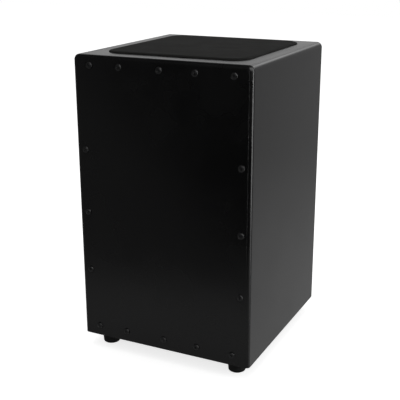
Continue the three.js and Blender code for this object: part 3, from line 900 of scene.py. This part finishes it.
class CAJON_OT_playing_surface(bpy.types.Operator):
    """Build the thin front plate"""

    bl_idname = "cajon.playing_surface"
    bl_label = "Playing surface"

    def execute(self, context):
        sizes = context.scene.cajon_body
        screws = [(middle_of(node).x, middle_of(node).z) for node in plate_screw_nodes()]
        add_piece(
            "playing_surface",
            playing_surface(Shell(sizes), screws, sizes.dimple),
            [finishes["plate"], finishes["raw"]],
            replaces=["front_plate"],
        )
        return {"FINISHED"}


class CAJON_OT_boards(bpy.types.Operator):
    """Build the four boards, the rear panel and the battens' finish"""

    bl_idname = "cajon.boards"
    bl_label = "Boards"

    def execute(self, context):
        shell = Shell(context.scene.cajon_body)
        upright = [finishes["shell"], finishes["raw"]]
        level = [finishes["top"], finishes["raw_top"]]
        boards = (
            ("left_board", side_board(shell, -1), upright, "left_side_panel"),
            ("right_board", side_board(shell, 1), upright, "right_side_panel"),
            ("top_board", upper_board(shell), level, "top_panel"),
            ("bottom_board", lower_board(shell), level, "bottom_panel"),
            ("rear_board", rear_board(shell), [*upright, finishes["ply_edge"]], "rear_panel"),
        )
        for name, mesh, materials, node in boards:
            add_piece(name, mesh, materials, replaces=[node])
        for side in SIDES:
            dress(f"front_batten_{side}", finishes["pine"])
        for edge in ("top", "bottom"):
            dress(f"front_batten_{edge}", finishes["pine_across"])
        return {"FINISHED"}


# The seat pad

LEAST_CORNER = 0.4 * MM  # least radius of the pad's loops at their corners
CORNER_STEPS = 6
SIDE_POINTS = 30
LOWER_EDGE = (0.4 * MM, 0.3 * MM)  # width and height of the bevel under the skirt
SKIRT_TURN = 0.4 * MM  # how far below the skirt's top the slope sets in
SLOPE_STEPS = 8
SLOPE_LIP = 0.7 * MM  # part of the slope's width that grows evenly, the rest by the power
SLOPE_POWER = 1.6
TOP_SPACING = 4 * MM
TOP_END = 2 * MM  # the loops of the top stop at least this far from its middle line
BROAD_WAVES = 28  # of the top's unevenness, in a metre
FINE_WAVES = 90
FINE_SHARE = 0.4  # height of the fine waves, as a share of the broad ones'
UNEVEN_WIDTH = 20 * MM  # from the slope inwards, over which the unevenness sets in


def pad_loop(low, high, radius, inset, z):
    """Points round the pad at one height, spaced along its sides as well as its corners."""
    corner = max(radius - inset, LEAST_CORNER)
    x_low, x_high = low.x + inset + corner, high.x - inset - corner
    y_low, y_high = low.y + inset + corner, high.y - inset - corner
    corners = [(x_high, y_low, -90), (x_high, y_high, 0), (x_low, y_high, 90), (x_low, y_low, 180)]
    arcs = []
    for x, y, start in corners:
        arcs.append(
            [
                Vector((x + corner * math.cos(turn), y + corner * math.sin(turn), z))
                for turn in (
                    math.radians(start + 90 * i / CORNER_STEPS) for i in range(CORNER_STEPS + 1)
                )
            ]
        )
    points = []
    for arc, following in zip(arcs, arcs[1:] + arcs[:1]):
        points.extend(arc)
        for i in range(1, SIDE_POINTS):
            points.append(arc[-1].lerp(following[0], i / SIDE_POINTS))
    return points


def pad_profile(sizes, thickness, reach):
    """Insets and heights from the pad's lower edge, up its slope and over its top."""
    bevel_width, bevel_height = LOWER_EDGE
    shoulder = sizes.skirt - SKIRT_TURN
    profile = [(bevel_width, 0), (0, bevel_height), (0, shoulder)]
    for i in range(SLOPE_STEPS + 1):
        share = i / SLOPE_STEPS
        inset = SLOPE_LIP * share + (sizes.slope - SLOPE_LIP) * share**SLOPE_POWER
        profile.append((inset, shoulder + (thickness - shoulder) * math.sin(share * QUARTER)))
    inset = sizes.slope
    while inset + TOP_SPACING < reach - TOP_END:
        inset += TOP_SPACING
        profile.append((inset, thickness))
    return profile


class CAJON_OT_seat_pad(bpy.types.Operator):
    """Build the foam rubber pad on the top board"""

    bl_idname = "cajon.seat_pad"
    bl_label = "Seat pad"

    def execute(self, context):
        sizes = context.scene.cajon_pad
        low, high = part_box("seat_pad")
        low += Vector((sizes.left_gap, sizes.front_gap, 0))
        high -= Vector((sizes.right_gap, 0, sizes.top_gap))
        thickness = high.z - low.z
        reach = min(high.x - low.x, high.y - low.y) / 2
        loops = []
        for inset, rise in pad_profile(sizes, thickness, reach):
            loop = pad_loop(low, high, sizes.corner_radius, inset, low.z + rise)
            if rise > thickness - TOUCH:
                share = min(1.0, (inset - sizes.slope) / UNEVEN_WIDTH)
                for point in loop:
                    wave = noise.noise(point * BROAD_WAVES)
                    wave += FINE_SHARE * noise.noise(point * FINE_WAVES)
                    point.z -= sizes.unevenness * (0.5 + 0.5 * wave) * share
            loops.append(loop)
        mesh = bmesh.new()
        loft(mesh, loops)
        pad = add_piece(
            "seat_cushion", mesh, [finishes["pad"]], replaces=["seat_pad"]
        )
        return {"FINISHED"}


# Screws

SCREW_STEPS = 40
HEAD_STEPS = 8
HEAD_EDGE = 0.22  # height of a head's upright edge, as a share of the head's
TIP = 0.3  # radius of a screw's tip, as a share of its shank's
CROSS_FLOOR = 0.55  # size of the cross at the recess's floor, as a share of its own
CROSS_MOUTH = 1.08  # and above the head
PLATE_SCREW_SHANK = 1.9 * MM
PLATE_SCREW_RECESS = (5 * MM, 1.15 * MM, 1.5 * MM)  # reach, width and depth of the cross
HEAD_SLACK = 0.05 * MM  # how much lower a plate screw's head is than its solid's
SHANK_SLACK = 1 * MM  # how much shorter its shank is
FIRST_TURN = 0.7  # radians, of the first plate screw, and from each to the next
NEXT_TURN = 2.3
# Radius and height of the head, radius and length of the shank, and the recess.
FOOT_SCREW = (4.3 * MM, 2.7 * MM, 1.9 * MM, 16 * MM, (4.4 * MM, MM, 1.4 * MM))


def screw_mesh(name, head_radius, head_height, shank_radius, shank_length, recess, sunk=0.0):
    """A round-headed screw that stands along +Z, its head's seat at z = 0, with a cross recess."""
    rim = head_height * HEAD_EDGE
    profile = [
        (0, -shank_length),
        (shank_radius * TIP, -shank_length),
        (shank_radius, -shank_length + 3 * shank_radius),
        (shank_radius, -sunk),
        (head_radius * 0.96, -sunk),
        (head_radius, -sunk + rim * 0.5),
        (head_radius, rim),
    ]
    for i in range(1, HEAD_STEPS):
        turn = QUARTER * i / HEAD_STEPS
        rise = (head_height - rim) * math.sin(turn)
        profile.append((head_radius * math.cos(turn), rim + rise))
    profile.append((0, head_height))
    mesh = bmesh.new()
    turned(mesh, profile, SCREW_STEPS, Matrix())
    blank = object_of(data_of(mesh, name + "_blank"), name + "_blank")
    cutter = object_of(cross_cutter(recess, head_height), name + "_cutter")
    cut = blank.modifiers.new("recess", "BOOLEAN")
    cut.operation = "DIFFERENCE"
    cut.solver = "EXACT"
    cut.object = cutter
    depsgraph = bpy.context.evaluated_depsgraph_get()
    data = bpy.data.meshes.new_from_object(blank.evaluated_get(depsgraph))
    data.name = name
    for scrap in (blank, cutter):
        bpy.data.objects.remove(scrap)
    cleaned = bmesh.new()
    cleaned.from_mesh(data)
    finish_mesh(cleaned)
    cleaned.to_mesh(data)
    cleaned.free()
    data.materials.clear()
    return data


def cross_cutter(recess, head_height):
    """A tapered cross that leaves a driver's recess in a screw's head."""
    reach, width, depth = recess
    outline = []
    for quarter in range(4):
        turn = Matrix.Rotation(QUARTER * quarter, 3, "Z")
        for x, y in ((width, width), (width, reach), (-width, reach)):
            outline.append(turn @ Vector((x / 2, y / 2, 0)))
    outline.sort(key=lambda point: math.atan2(point.y, point.x))
    levels = ((CROSS_FLOOR, head_height - depth), (CROSS_MOUTH, head_height + 0.5 * MM))
    mesh = bmesh.new()
    loft(
        mesh, [[(point.x * wide, point.y * wide, z) for point in outline] for wide, z in levels]
    )
    return data_of(mesh, "cross")


def plate_screw_nodes():
    return sorted(node for node in frame["nodes"] if node.startswith("plate_screw_"))


def seat_matrix(point, direction, turn):
    """Puts a screw's seat at a point, with its head along a direction and turned about it."""
    axis = Vector(direction)
    return (
        Matrix.Translation(point)
        @ axis.to_track_quat("Z", "Y").to_matrix().to_4x4()
        @ Matrix.Rotation(turn, 4, "Z")
    )


class CAJON_OT_plate_screws(bpy.types.Operator):
    """Build the sixteen black screws of the playing surface"""

    bl_idname = "cajon.plate_screws"
    bl_label = "Plate screws"

    def execute(self, context):
        sizes = context.scene.cajon_hardware
        seat_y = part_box("front_plate")[0].y
        low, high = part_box("plate_screw_top_1")
        data = screw_mesh(
            "plate_screw",
            sizes.head_radius,
            seat_y - low.y - HEAD_SLACK,
            PLATE_SCREW_SHANK,
            high.y - seat_y - SHANK_SLACK,
            PLATE_SCREW_RECESS,
            context.scene.cajon_body.dimple,
        )
        for i, node in enumerate(plate_screw_nodes()):
            middle = middle_of(node)
            turn = FIRST_TURN + NEXT_TURN * i
            add_copy(
                node.replace("plate_screw", "surface_screw"),
                data,
                [finishes["black_screw"]],
                seat_matrix((middle.x, seat_y, middle.z), (0, -1, 0), turn),
                BODY,
                [node],
                weighted=False,
            )
        return {"FINISHED"}


# Feet

FOOT_STEPS = 64
FOOT_RIM_STEPS = 8
FOOT_WELL = 7.5 * MM
FOOT_BORE = 2.3 * MM
SEAM_SHARE = 0.62  # height of the mould's seam, as a share of the foot's
WASHER_STEPS = 48
WASHER_EDGE = 0.2 * MM


class CAJON_OT_feet(bpy.types.Operator):
    """Build the four rubber feet with their washers and screws"""

    bl_idname = "cajon.feet"
    bl_label = "Feet"

    def execute(self, context):
        washer_low, washer_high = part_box("foot_washer_front_left")
        width, _, thickness = washer_high - washer_low
        rubber = self.foot_data(context.scene.cajon_hardware)
        washer = self.washer_data(width / 2, thickness)
        screw = screw_mesh("foot_screw", *FOOT_SCREW)
        for corner in CORNERS:
            middle = middle_of(f"foot_{corner}")
            seat = Vector((middle.x, middle.y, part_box(f"foot_washer_{corner}")[0].z))
            on_floor = Matrix.Translation((middle.x, middle.y, 0))
            in_well = Matrix.Translation(seat)
            upside_down = seat_matrix(seat, (0, 0, -1), middle.x * 9)
            pieces = (
                ("rubber_foot", "foot", rubber, on_floor, "rubber", "foot_rubber"),
                ("steel_washer", "foot_washer", washer, in_well, "zinc", "zinc_steel"),
                ("steel_screw", "foot_screw", screw, upside_down, "zinc", "zinc_steel"),
            )
            for name, node, data, place, finish, slot in pieces:
                add_copy(
                    f"{name}_{corner}",
                    data,
                    [finishes[finish]],
                    place,
                    BODY,
                    [f"{node}_{corner}"],
                    weighted=data != screw,
                )
        return {"FINISHED"}

    @staticmethod
    def foot_data(sizes):
        low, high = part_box("foot_front_left")
        height = high.z - low.z
        well_roof = height - sizes.foot_web
        seam = height * SEAM_SHARE
        wide = sizes.foot_bottom + (sizes.foot_top - sizes.foot_bottom) * SEAM_SHARE
        profile = [
            (FOOT_BORE, well_roof),
            (FOOT_WELL - 0.4 * MM, well_roof),
            (FOOT_WELL, well_roof - 0.4 * MM),
            (FOOT_WELL, 0.5 * MM),
            (FOOT_WELL + 0.5 * MM, 0),
        ]
        for inset, rise in rounding(sizes.foot_rim, FOOT_RIM_STEPS):
            profile.append((sizes.foot_bottom - inset, rise))
        profile += [
            (wide, seam - 0.25 * MM),
            (wide + 0.12 * MM, seam),
            (wide, seam + 0.25 * MM),
            (sizes.foot_top, height - 0.8 * MM),
            (sizes.foot_top - 0.5 * MM, height),
            (FOOT_BORE, height),
            (FOOT_BORE, well_roof),
        ]
        mesh = bmesh.new()
        turned(mesh, profile, FOOT_STEPS, Matrix())
        return data_of(mesh, "rubber_foot")

    @staticmethod
    def washer_data(outer, thickness):
        profile = [
            (FOOT_BORE, 0),
            (outer - WASHER_EDGE, 0),
            (outer, WASHER_EDGE),
            (outer, thickness - WASHER_EDGE),
            (outer - WASHER_EDGE, thickness),
            (FOOT_BORE, thickness),
            (FOOT_BORE, 0),
        ]
        mesh = bmesh.new()
        turned(mesh, profile, WASHER_STEPS, Matrix())
        return data_of(mesh, "steel_washer")


# The snare mechanism

FELT_BORE = 7.4 * MM
FELT_STEPS = 72
FELT_EDGE = 0.35  # rounding of the felt's edges, as a share of its thickness
FRAY = 0.02  # how far the felt's rim is drawn in at most, as a share of its radius
FRAY_WAVES = 900  # in a metre
CURL_STEPS = 6
PLATE_MIDDLE = 15.3 * MM  # from the bar's axis to the middle of the wires' end plates
STRAND_START = 5 * MM
BEND_START = 39 * MM
BEND_RADIUS = 60 * MM
STRAND_RISE = 50 * MM  # length of a strand beyond its bend
STRAND_TURN = 1.7  # radians between the curls of neighbouring strands
END_PLATE = (27.5 * MM, -7 * MM, 8 * MM, [1.2 * MM] * 4, 4)  # what rounded_rectangle takes
# Depths through the plate, and how far its ends are drawn in there.
END_PLATE_FACES = ((-1 * MM, 0.3 * MM), (-0.7 * MM, 0), (0.7 * MM, 0), (1 * MM, 0.3 * MM))
ROD_STEPS = 40
ROD_PROFILE = ((0, 2), (3.4, 2), (4, 2.6), (4, 85.2), (3.4, 86), (0, 86))  # millimetres
KNOB_BASE = 74 * MM  # from the bar's axis to the knob's flat
KNOB_FLAT = 6.5 * MM  # radius of the flat
KNOB_BORE = 4.3 * MM  # radius of the bore
KNOB_DEPTH = 12.3 * MM
KNOB_ARC_STEPS = 24
KNOB_STEPS = 56


def bar_frame(sizes):
    """The bar's own frame: at its axis, leaning as the bar does, with the wires towards -Y."""
    joint = frame["joints"][0]
    return Matrix.Translation(joint["pos_m"]) @ Matrix.Rotation(sizes.lean, 4, "X")


class CAJON_OT_bearings(bpy.types.Operator):
    """Finish the bearing blocks with their screws, and build their felt washers"""

    bl_idname = "cajon.bearings"
    bl_label = "Bearings"

    def execute(self, context):
        for side in SIDES:
            dress(f"bearing_block_{side}", finishes["beech_block"])
            for count in (1, 2):
                dress(f"block_screw_{side}_{count}", finishes["zinc"])
            self.felt_washer(side)
        return {"FINISHED"}

    @staticmethod
    def felt_washer(side):
        low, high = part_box(f"friction_washer_{side}")
        middle = (low + high) / 2
        thickness, outer = high.x - low.x, (high.z - low.z) / 2
        half = thickness / 2
        edge = thickness * FELT_EDGE
        soft = edge * 0.3
        profile = [
            (FELT_BORE, -half),
            (outer - edge, -half),
            (outer - soft, -half + soft),
            (outer, -half + edge),
            (outer, half - edge),
            (outer - soft, half - soft),
            (outer - edge, half),
            (FELT_BORE, half),
            (FELT_BORE, -half),
        ]
        mesh = bmesh.new()
        place = Matrix.Translation(middle) @ Matrix.Rotation(QUARTER, 4, "Y")
        turned(mesh, profile, FELT_STEPS, place)
        for vertex in mesh.verts:
            away = vertex.co - middle
            away.x = 0
            if away.length > outer - edge * 1.2:
                share = 1 - FRAY * abs(noise.noise(vertex.co * FRAY_WAVES))
                vertex.co.y = middle.y + away.y * share
                vertex.co.z = middle.z + away.z * share
        add_piece(
            f"felt_washer_{side}",
            mesh,
            [finishes["felt"]],
            replaces=[f"friction_washer_{side}"],
        )


class CAJON_OT_snare_bar(bpy.types.Operator):
    """Finish the turning bar and its stop pin"""

    bl_idname = "cajon.snare_bar"
    bl_label = "Snare bar"

    def execute(self, context):
        dress("snare_bar", finishes["beech"])
        dress("stop_pin", finishes["zinc"])
        return {"FINISHED"}


def strand_line(across, sizes):
    """Points along a strand's middle in the bar's frame, close together."""
    straight = BEND_START - STRAND_START
    bend = BEND_RADIUS * sizes.lean
    total = straight + bend + STRAND_RISE
    count = round(total / (sizes.coil_pitch / CURL_STEPS))
    points = []
    for i in range(count + 1):
        way = total * i / count
        if way < straight:
            points.append(Vector((across, -PLATE_MIDDLE, STRAND_START + way)))
            continue
        way -= straight
        turn = min(way / BEND_RADIUS, sizes.lean)
        y = -PLATE_MIDDLE + BEND_RADIUS * (1 - math.cos(turn))
        z = BEND_START + BEND_RADIUS * math.sin(turn)
        rest = max(0.0, way - bend)
        direction = Vector((0, math.sin(sizes.lean), math.cos(sizes.lean)))
        points.append(Vector((across, y, z)) + rest * direction)
    return points


def along(points, i):
    """The direction of a line of points at one of them."""
    return (points[min(i + 1, len(points) - 1)] - points[max(i - 1, 0)]).normalized()


def curl(mesh, line, sizes, phase, place):
    """Winds a wire round a line of points, as a tube of four sides."""
    radius = sizes.coil_radius - sizes.wire_radius
    side = Vector((1, 0, 0))
    centres = []
    for i, point in enumerate(line):
        other = along(line, i).cross(side)
        turn = phase + 2 * math.pi * i / CURL_STEPS
        centres.append(point + radius * (side * math.cos(turn) + other * math.sin(turn)))
    loops = []
    for i, centre in enumerate(centres):
        ahead = along(centres, i)
        out = centre - line[i]
        out = (out - out.dot(ahead) * ahead).normalized() * sizes.wire_radius
        third = ahead.cross(out)
        loops.append([place @ (centre + part) for part in (out, third, -out, -third)])
    loft(mesh, loops)


class CAJON_OT_snare_wires(bpy.types.Operator):
    """Build both sets of curled snare wires on their end plates, with their clamps"""

    bl_idname = "cajon.snare_wires"
    bl_label = "Snare wires"

    def execute(self, context):
        sizes = context.scene.cajon_snare
        place = bar_frame(sizes)
        for side in SIDES:
            middle = middle_of(f"snare_wires_{side}").x
            mesh = bmesh.new()
            for i in range(sizes.strands):
                across = middle + (i - (sizes.strands - 1) / 2) * sizes.pitch
                curl(mesh, strand_line(across, sizes), sizes, STRAND_TURN * i, place)
            self.end_plate(mesh, middle, place)
            add_piece(
                f"curled_wires_{side}",
                mesh,
                [finishes["wire"]],
                BAR,
                [f"snare_wires_{side}"],
                weighted=False,
            )
            dress(f"clamp_strip_{side}", finishes["zinc"])
            for count in (1, 2):
                dress(f"clamp_screw_{side}_{count}", finishes["zinc"])
        return {"FINISHED"}

    @staticmethod
    def end_plate(mesh, middle, place):
        """The plate that holds a set's strands, its short edges drawn in at both faces."""
        outline = rounded_rectangle(*END_PLATE)
        loops = []
        for y, drawn_in in END_PLATE_FACES:
            share = 1 - drawn_in / END_PLATE[0]
            loops.append(
                [place @ Vector((middle + x * share, y - PLATE_MIDDLE, z)) for x, z in outline]
            )
        loft(mesh, loops)


class CAJON_OT_lever(bpy.types.Operator):
    """Build the lever's rod and knob"""

    bl_idname = "cajon.lever"
    bl_label = "Lever"

    def execute(self, context):
        place = bar_frame(context.scene.cajon_snare) @ Matrix.Rotation(-QUARTER, 4, "X")
        mesh = bmesh.new()
        turned(mesh, [(r * MM, h * MM) for r, h in ROD_PROFILE], ROD_STEPS, place)
        add_piece("steel_lever", mesh, [finishes["zinc"]], BAR, ["lever_rod"])
        mesh = bmesh.new()
        turned(mesh, self.knob_profile(context.scene.cajon_hardware.knob_radius), KNOB_STEPS, place)
        add_piece("lever_ball", mesh, [finishes["knob"]], BAR, ["lever_knob"])
        return {"FINISHED"}

    @staticmethod
    def knob_profile(radius):
        """A ball with a flat and a bore where the rod goes in."""
        centre = KNOB_BASE + math.sqrt(radius**2 - KNOB_FLAT**2)
        first = -math.acos(KNOB_FLAT / radius)
        floor = KNOB_BASE + KNOB_DEPTH
        profile = [(0, floor), (KNOB_BORE, floor), (KNOB_BORE, KNOB_BASE)]
        for i in range(KNOB_ARC_STEPS):
            turn = first + (QUARTER - first) * i / KNOB_ARC_STEPS
            profile.append((radius * math.cos(turn), centre + radius * math.sin(turn)))
        profile.append((0, centre + radius))
        return profile


# Stage

FLOOR_REACH = 6
FRONT_CORNER = Vector((0.15, -0.15, 0))  # the foot of the body's edge that is nearest the camera
PAINTED_DARK_EDGE_WAY = (0.767, 0.641)  # the way across the edge of the floor's painted dark part: to the right, and to the front


class CAJON_OT_stage(bpy.types.Operator):
    """Set up the floor, the lights and the camera"""

    bl_idname = "cajon.stage"
    bl_label = "Stage"

    def execute(self, context):
        sizes = context.scene.cajon_stage
        self.floor()
        self.world(context.scene, sizes)
        self.lamp("key light", (-0.3, 0.5, 2.2), (0, 0, 0.3), 2.0, sizes.key_power)
        self.lamp("side light", (2.1, 0.3, 1.1), (0.1, 0, 0.3), 1.4, sizes.side_power)
        self.camera(context.scene, sizes)
        context.scene.view_settings.view_transform = "Standard"
        return {"FINISHED"}

    @staticmethod
    def floor():
        """Pale paper that keeps its shadow. Reflections see painted light and shade on it instead:
        a dim studio floor.
        """
        mesh = bmesh.new()
        bmesh.ops.create_grid(mesh, x_segments=2, y_segments=2, size=FLOOR_REACH)
        data = bpy.data.meshes.new("floor")
        mesh.to_mesh(data)
        mesh.free()
        floor = object_of(data, "floor")
        finish = Finish("floor paper")
        away = finish.vector_maths("SUBTRACT", finish.place(), FRONT_CORNER)
        distance = finish.vector_maths("LENGTH", away, output="Value")
        direction = finish.vector_maths("NORMALIZE", away)
        right, back = (finish.axis(direction, letter) for letter in "XY")
        x, y = (finish.axis(finish.place(), letter) for letter in "XY")
        # The playing surface mirrors a painted pale strip, then a painted darker floor that is
        # painted near black past a line.
        strip = finish.spread(y, -0.3, -0.17, 0.265, 0.215)
        open_floor = finish.spread(distance, 0.4, 2.0, 0.1, 0.135)
        past_painted_dark_edge = x * PAINTED_DARK_EDGE_WAY[0] - y * PAINTED_DARK_EDGE_WAY[1]
        beyond = finish.spread(past_painted_dark_edge, 0.3, 0.4, open_floor, 0.002)
        in_front = finish.spread(y + x * 0.18, -0.51, -0.43, beyond, strip)
        # The right side mirrors the floor at the right and behind, with a patch of painted shade in
        # it.
        behind = finish.spread(distance, 0.1, 1.6, 0.4, 0.265)
        to_the_back = finish.spread(back, -0.34, -0.2) * finish.spread(right, -0.5, 0.0)
        dim = finish.spread(back, 0.1, 0.4) * finish.spread(back, 0.74, 0.86, 1, 0)
        dim = dim * finish.spread(right, 0.2, 0.4) * finish.spread(distance, 0.2, 0.8) * 0.7
        # The rounded edge between the two mirrors the floor at the right, which has a painted
        # bright glow there.
        beside = finish.spread(back, -0.3, -0.16) * finish.spread(back, 0.12, 0.3, 1, 0)
        beside = beside * finish.spread(right, 0.5, 0.85)
        beside = beside * finish.spread(distance, 0.2, 1.4, 0.4, 8.6)
        mirrored = (in_front * (1 - to_the_back) + behind * to_the_back) * (1 - dim) + beside
        own = finish.node("ShaderNodeBsdfDiffuse", {}, {"Color": (0.8, 0.8, 0.8, 1)})
        seen = finish.ray("Camera") + finish.ray("Transmission")
        lift = finish.node("ShaderNodeEmission", {}, {"Color": seen * 0.76})
        paper = finish.node("ShaderNodeAddShader", {}, {0: own, 1: lift})
        # The floor glows with this painted light and shade for reflection rays only.
        image = finish.node("ShaderNodeEmission", {}, {"Color": mirrored})
        shaders = {0: finish.ray("Glossy"), 1: paper, 2: image}
        both = finish.node("ShaderNodeMixShader", {}, shaders)
        finish.node("ShaderNodeOutputMaterial", {}, {"Surface": both})
        data.materials.append(finish.material)

    @staticmethod
    def world(scene, sizes):
        """White to the camera. In the lacquer: a pale wall behind, a soft box, a dark ceiling."""
        world = bpy.data.worlds.new("studio")
        world.use_nodes = True
        scene.world = world
        finish = Finish("studio", world.node_tree)
        direction = finish.node("ShaderNodeTexCoord", output="Generated")
        right, back, up = (finish.axis(direction, letter) for letter in "XYZ")
        wall = finish.spread(back, 0.1, 0.6, 0.05, 1.0) * finish.spread(up, 0.45, 0.75, 1.0, 0.06)
        wall = wall * finish.spread(up, 0.15, 0.32, 0.42, 0.58)
        wall = wall * finish.spread(right, 0.12, 0.3, 1.0, 0.62)
        across = finish.spread(right, -0.08, 0.06)
        height = finish.spread(up, 0.28, 0.37) * finish.spread(up, 0.5, 0.62, 1, 0)
        soft_box = across * height * finish.spread(back, 0.3, 0.6) * sizes.soft_box
        beside = finish.spread(back, -0.36, -0.2) * finish.spread(back, 0.12, 0.3, 1, 0)
        beside = beside * finish.spread(right, 0.3, 0.6) * finish.spread(up, 0.75, 0.9, 5.0, 0)
        in_front = finish.spread(right, -0.1, 0.15) * finish.spread(back, -0.55, -0.4, 1, 0)
        in_front = in_front * finish.spread(up, 0.08, 0.25) * 2.4
        mirrored = wall + soft_box + beside + in_front + 0.04
        seen = finish.ray("Camera") + finish.ray("Transmission")
        glossy = finish.ray("Glossy")
        strength = seen + (1 - seen) * (glossy * mirrored + (1 - glossy) * 0.45)
        background = finish.node("ShaderNodeBackground", {}, {"Color": strength})
        finish.node("ShaderNodeOutputWorld", {}, {"Surface": background})

    @staticmethod
    def lamp(name, place, target, size, watts):
        """A square lamp that points at a target and isn't mirrored."""
        data = bpy.data.lights.new(name, "AREA")
        data.shape = "SQUARE"
        data.size = size
        data.energy = watts
        lamp = object_of(data, name)
        lamp.visible_glossy = False
        lamp.location = place
        direction = Vector(target) - Vector(place)
        lamp.rotation_euler = direction.to_track_quat("-Z", "Y").to_euler()

    @staticmethod
    def camera(scene, sizes):
        """The camera at the photograph's angle."""
        data = bpy.data.cameras.new("camera")
        data.sensor_width = 36
        data.lens = sizes.lens
        data.clip_start = 0.05
        data.clip_end = 50
        camera = object_of(data, "camera")
        azimuth, elevation = sizes.azimuth, sizes.elevation
        forward = Vector(
            (
                -math.sin(azimuth) * math.cos(elevation),
                math.cos(azimuth) * math.cos(elevation),
                -math.sin(elevation),
            )
        )
        right = forward.cross(Vector((0, 0, 1))).normalized()
        up = right.cross(forward)
        turn = Matrix((right, up, -forward)).transposed().to_4x4()
        turn = turn @ Matrix.Rotation(sizes.roll, 4, "Z")
        camera.matrix_world = Matrix.Translation(sizes.place) @ turn
        scene.camera = camera


# Panel and registration

OPERATORS = (
    CAJON_OT_playing_surface,
    CAJON_OT_boards,
    CAJON_OT_seat_pad,
    CAJON_OT_plate_screws,
    CAJON_OT_feet,
    CAJON_OT_bearings,
    CAJON_OT_snare_bar,
    CAJON_OT_snare_wires,
    CAJON_OT_lever,
    CAJON_OT_stage,
)

GROUPS = {
    "cajon_body": CajonBodySizes,
    "cajon_pad": CajonPadSizes,
    "cajon_hardware": CajonHardwareSizes,
    "cajon_snare": CajonSnareSizes,
    "cajon_colours": CajonColours,
    "cajon_stage": CajonStageSizes,
}


class CAJON_PT_sidebar(bpy.types.Panel):
    """The cajon's sizes, colours and pieces"""

    bl_label = "Snare cajon"
    bl_idname = "CAJON_PT_sidebar"
    bl_space_type = "VIEW_3D"
    bl_region_type = "UI"
    bl_category = "Cajon"

    def draw(self, context):
        for name, group in GROUPS.items():
            box = self.layout.box()
            box.label(text=group.__name__)
            for field in group.__annotations__:
                box.prop(getattr(context.scene, name), field)
        for operator in OPERATORS:
            self.layout.operator(operator.bl_idname)


def register():
    for kind in (*GROUPS.values(), *OPERATORS, CAJON_PT_sidebar):
        bpy.utils.register_class(kind)
    for name, group in GROUPS.items():
        setattr(bpy.types.Scene, name, PointerProperty(type=group))


def unregister():
    for name in GROUPS:
        delattr(bpy.types.Scene, name)
    for kind in (CAJON_PT_sidebar, *reversed(OPERATORS), *reversed(list(GROUPS.values()))):
        bpy.utils.unregister_class(kind)


finishes = {}


def main():
    register()
    finishes.update(make_finishes(bpy.context.scene.cajon_colours))
    for operator in OPERATORS:
        group, name = operator.bl_idname.split(".")
        getattr(getattr(bpy.ops, group), name)()


if __name__ == "__main__":
    main()
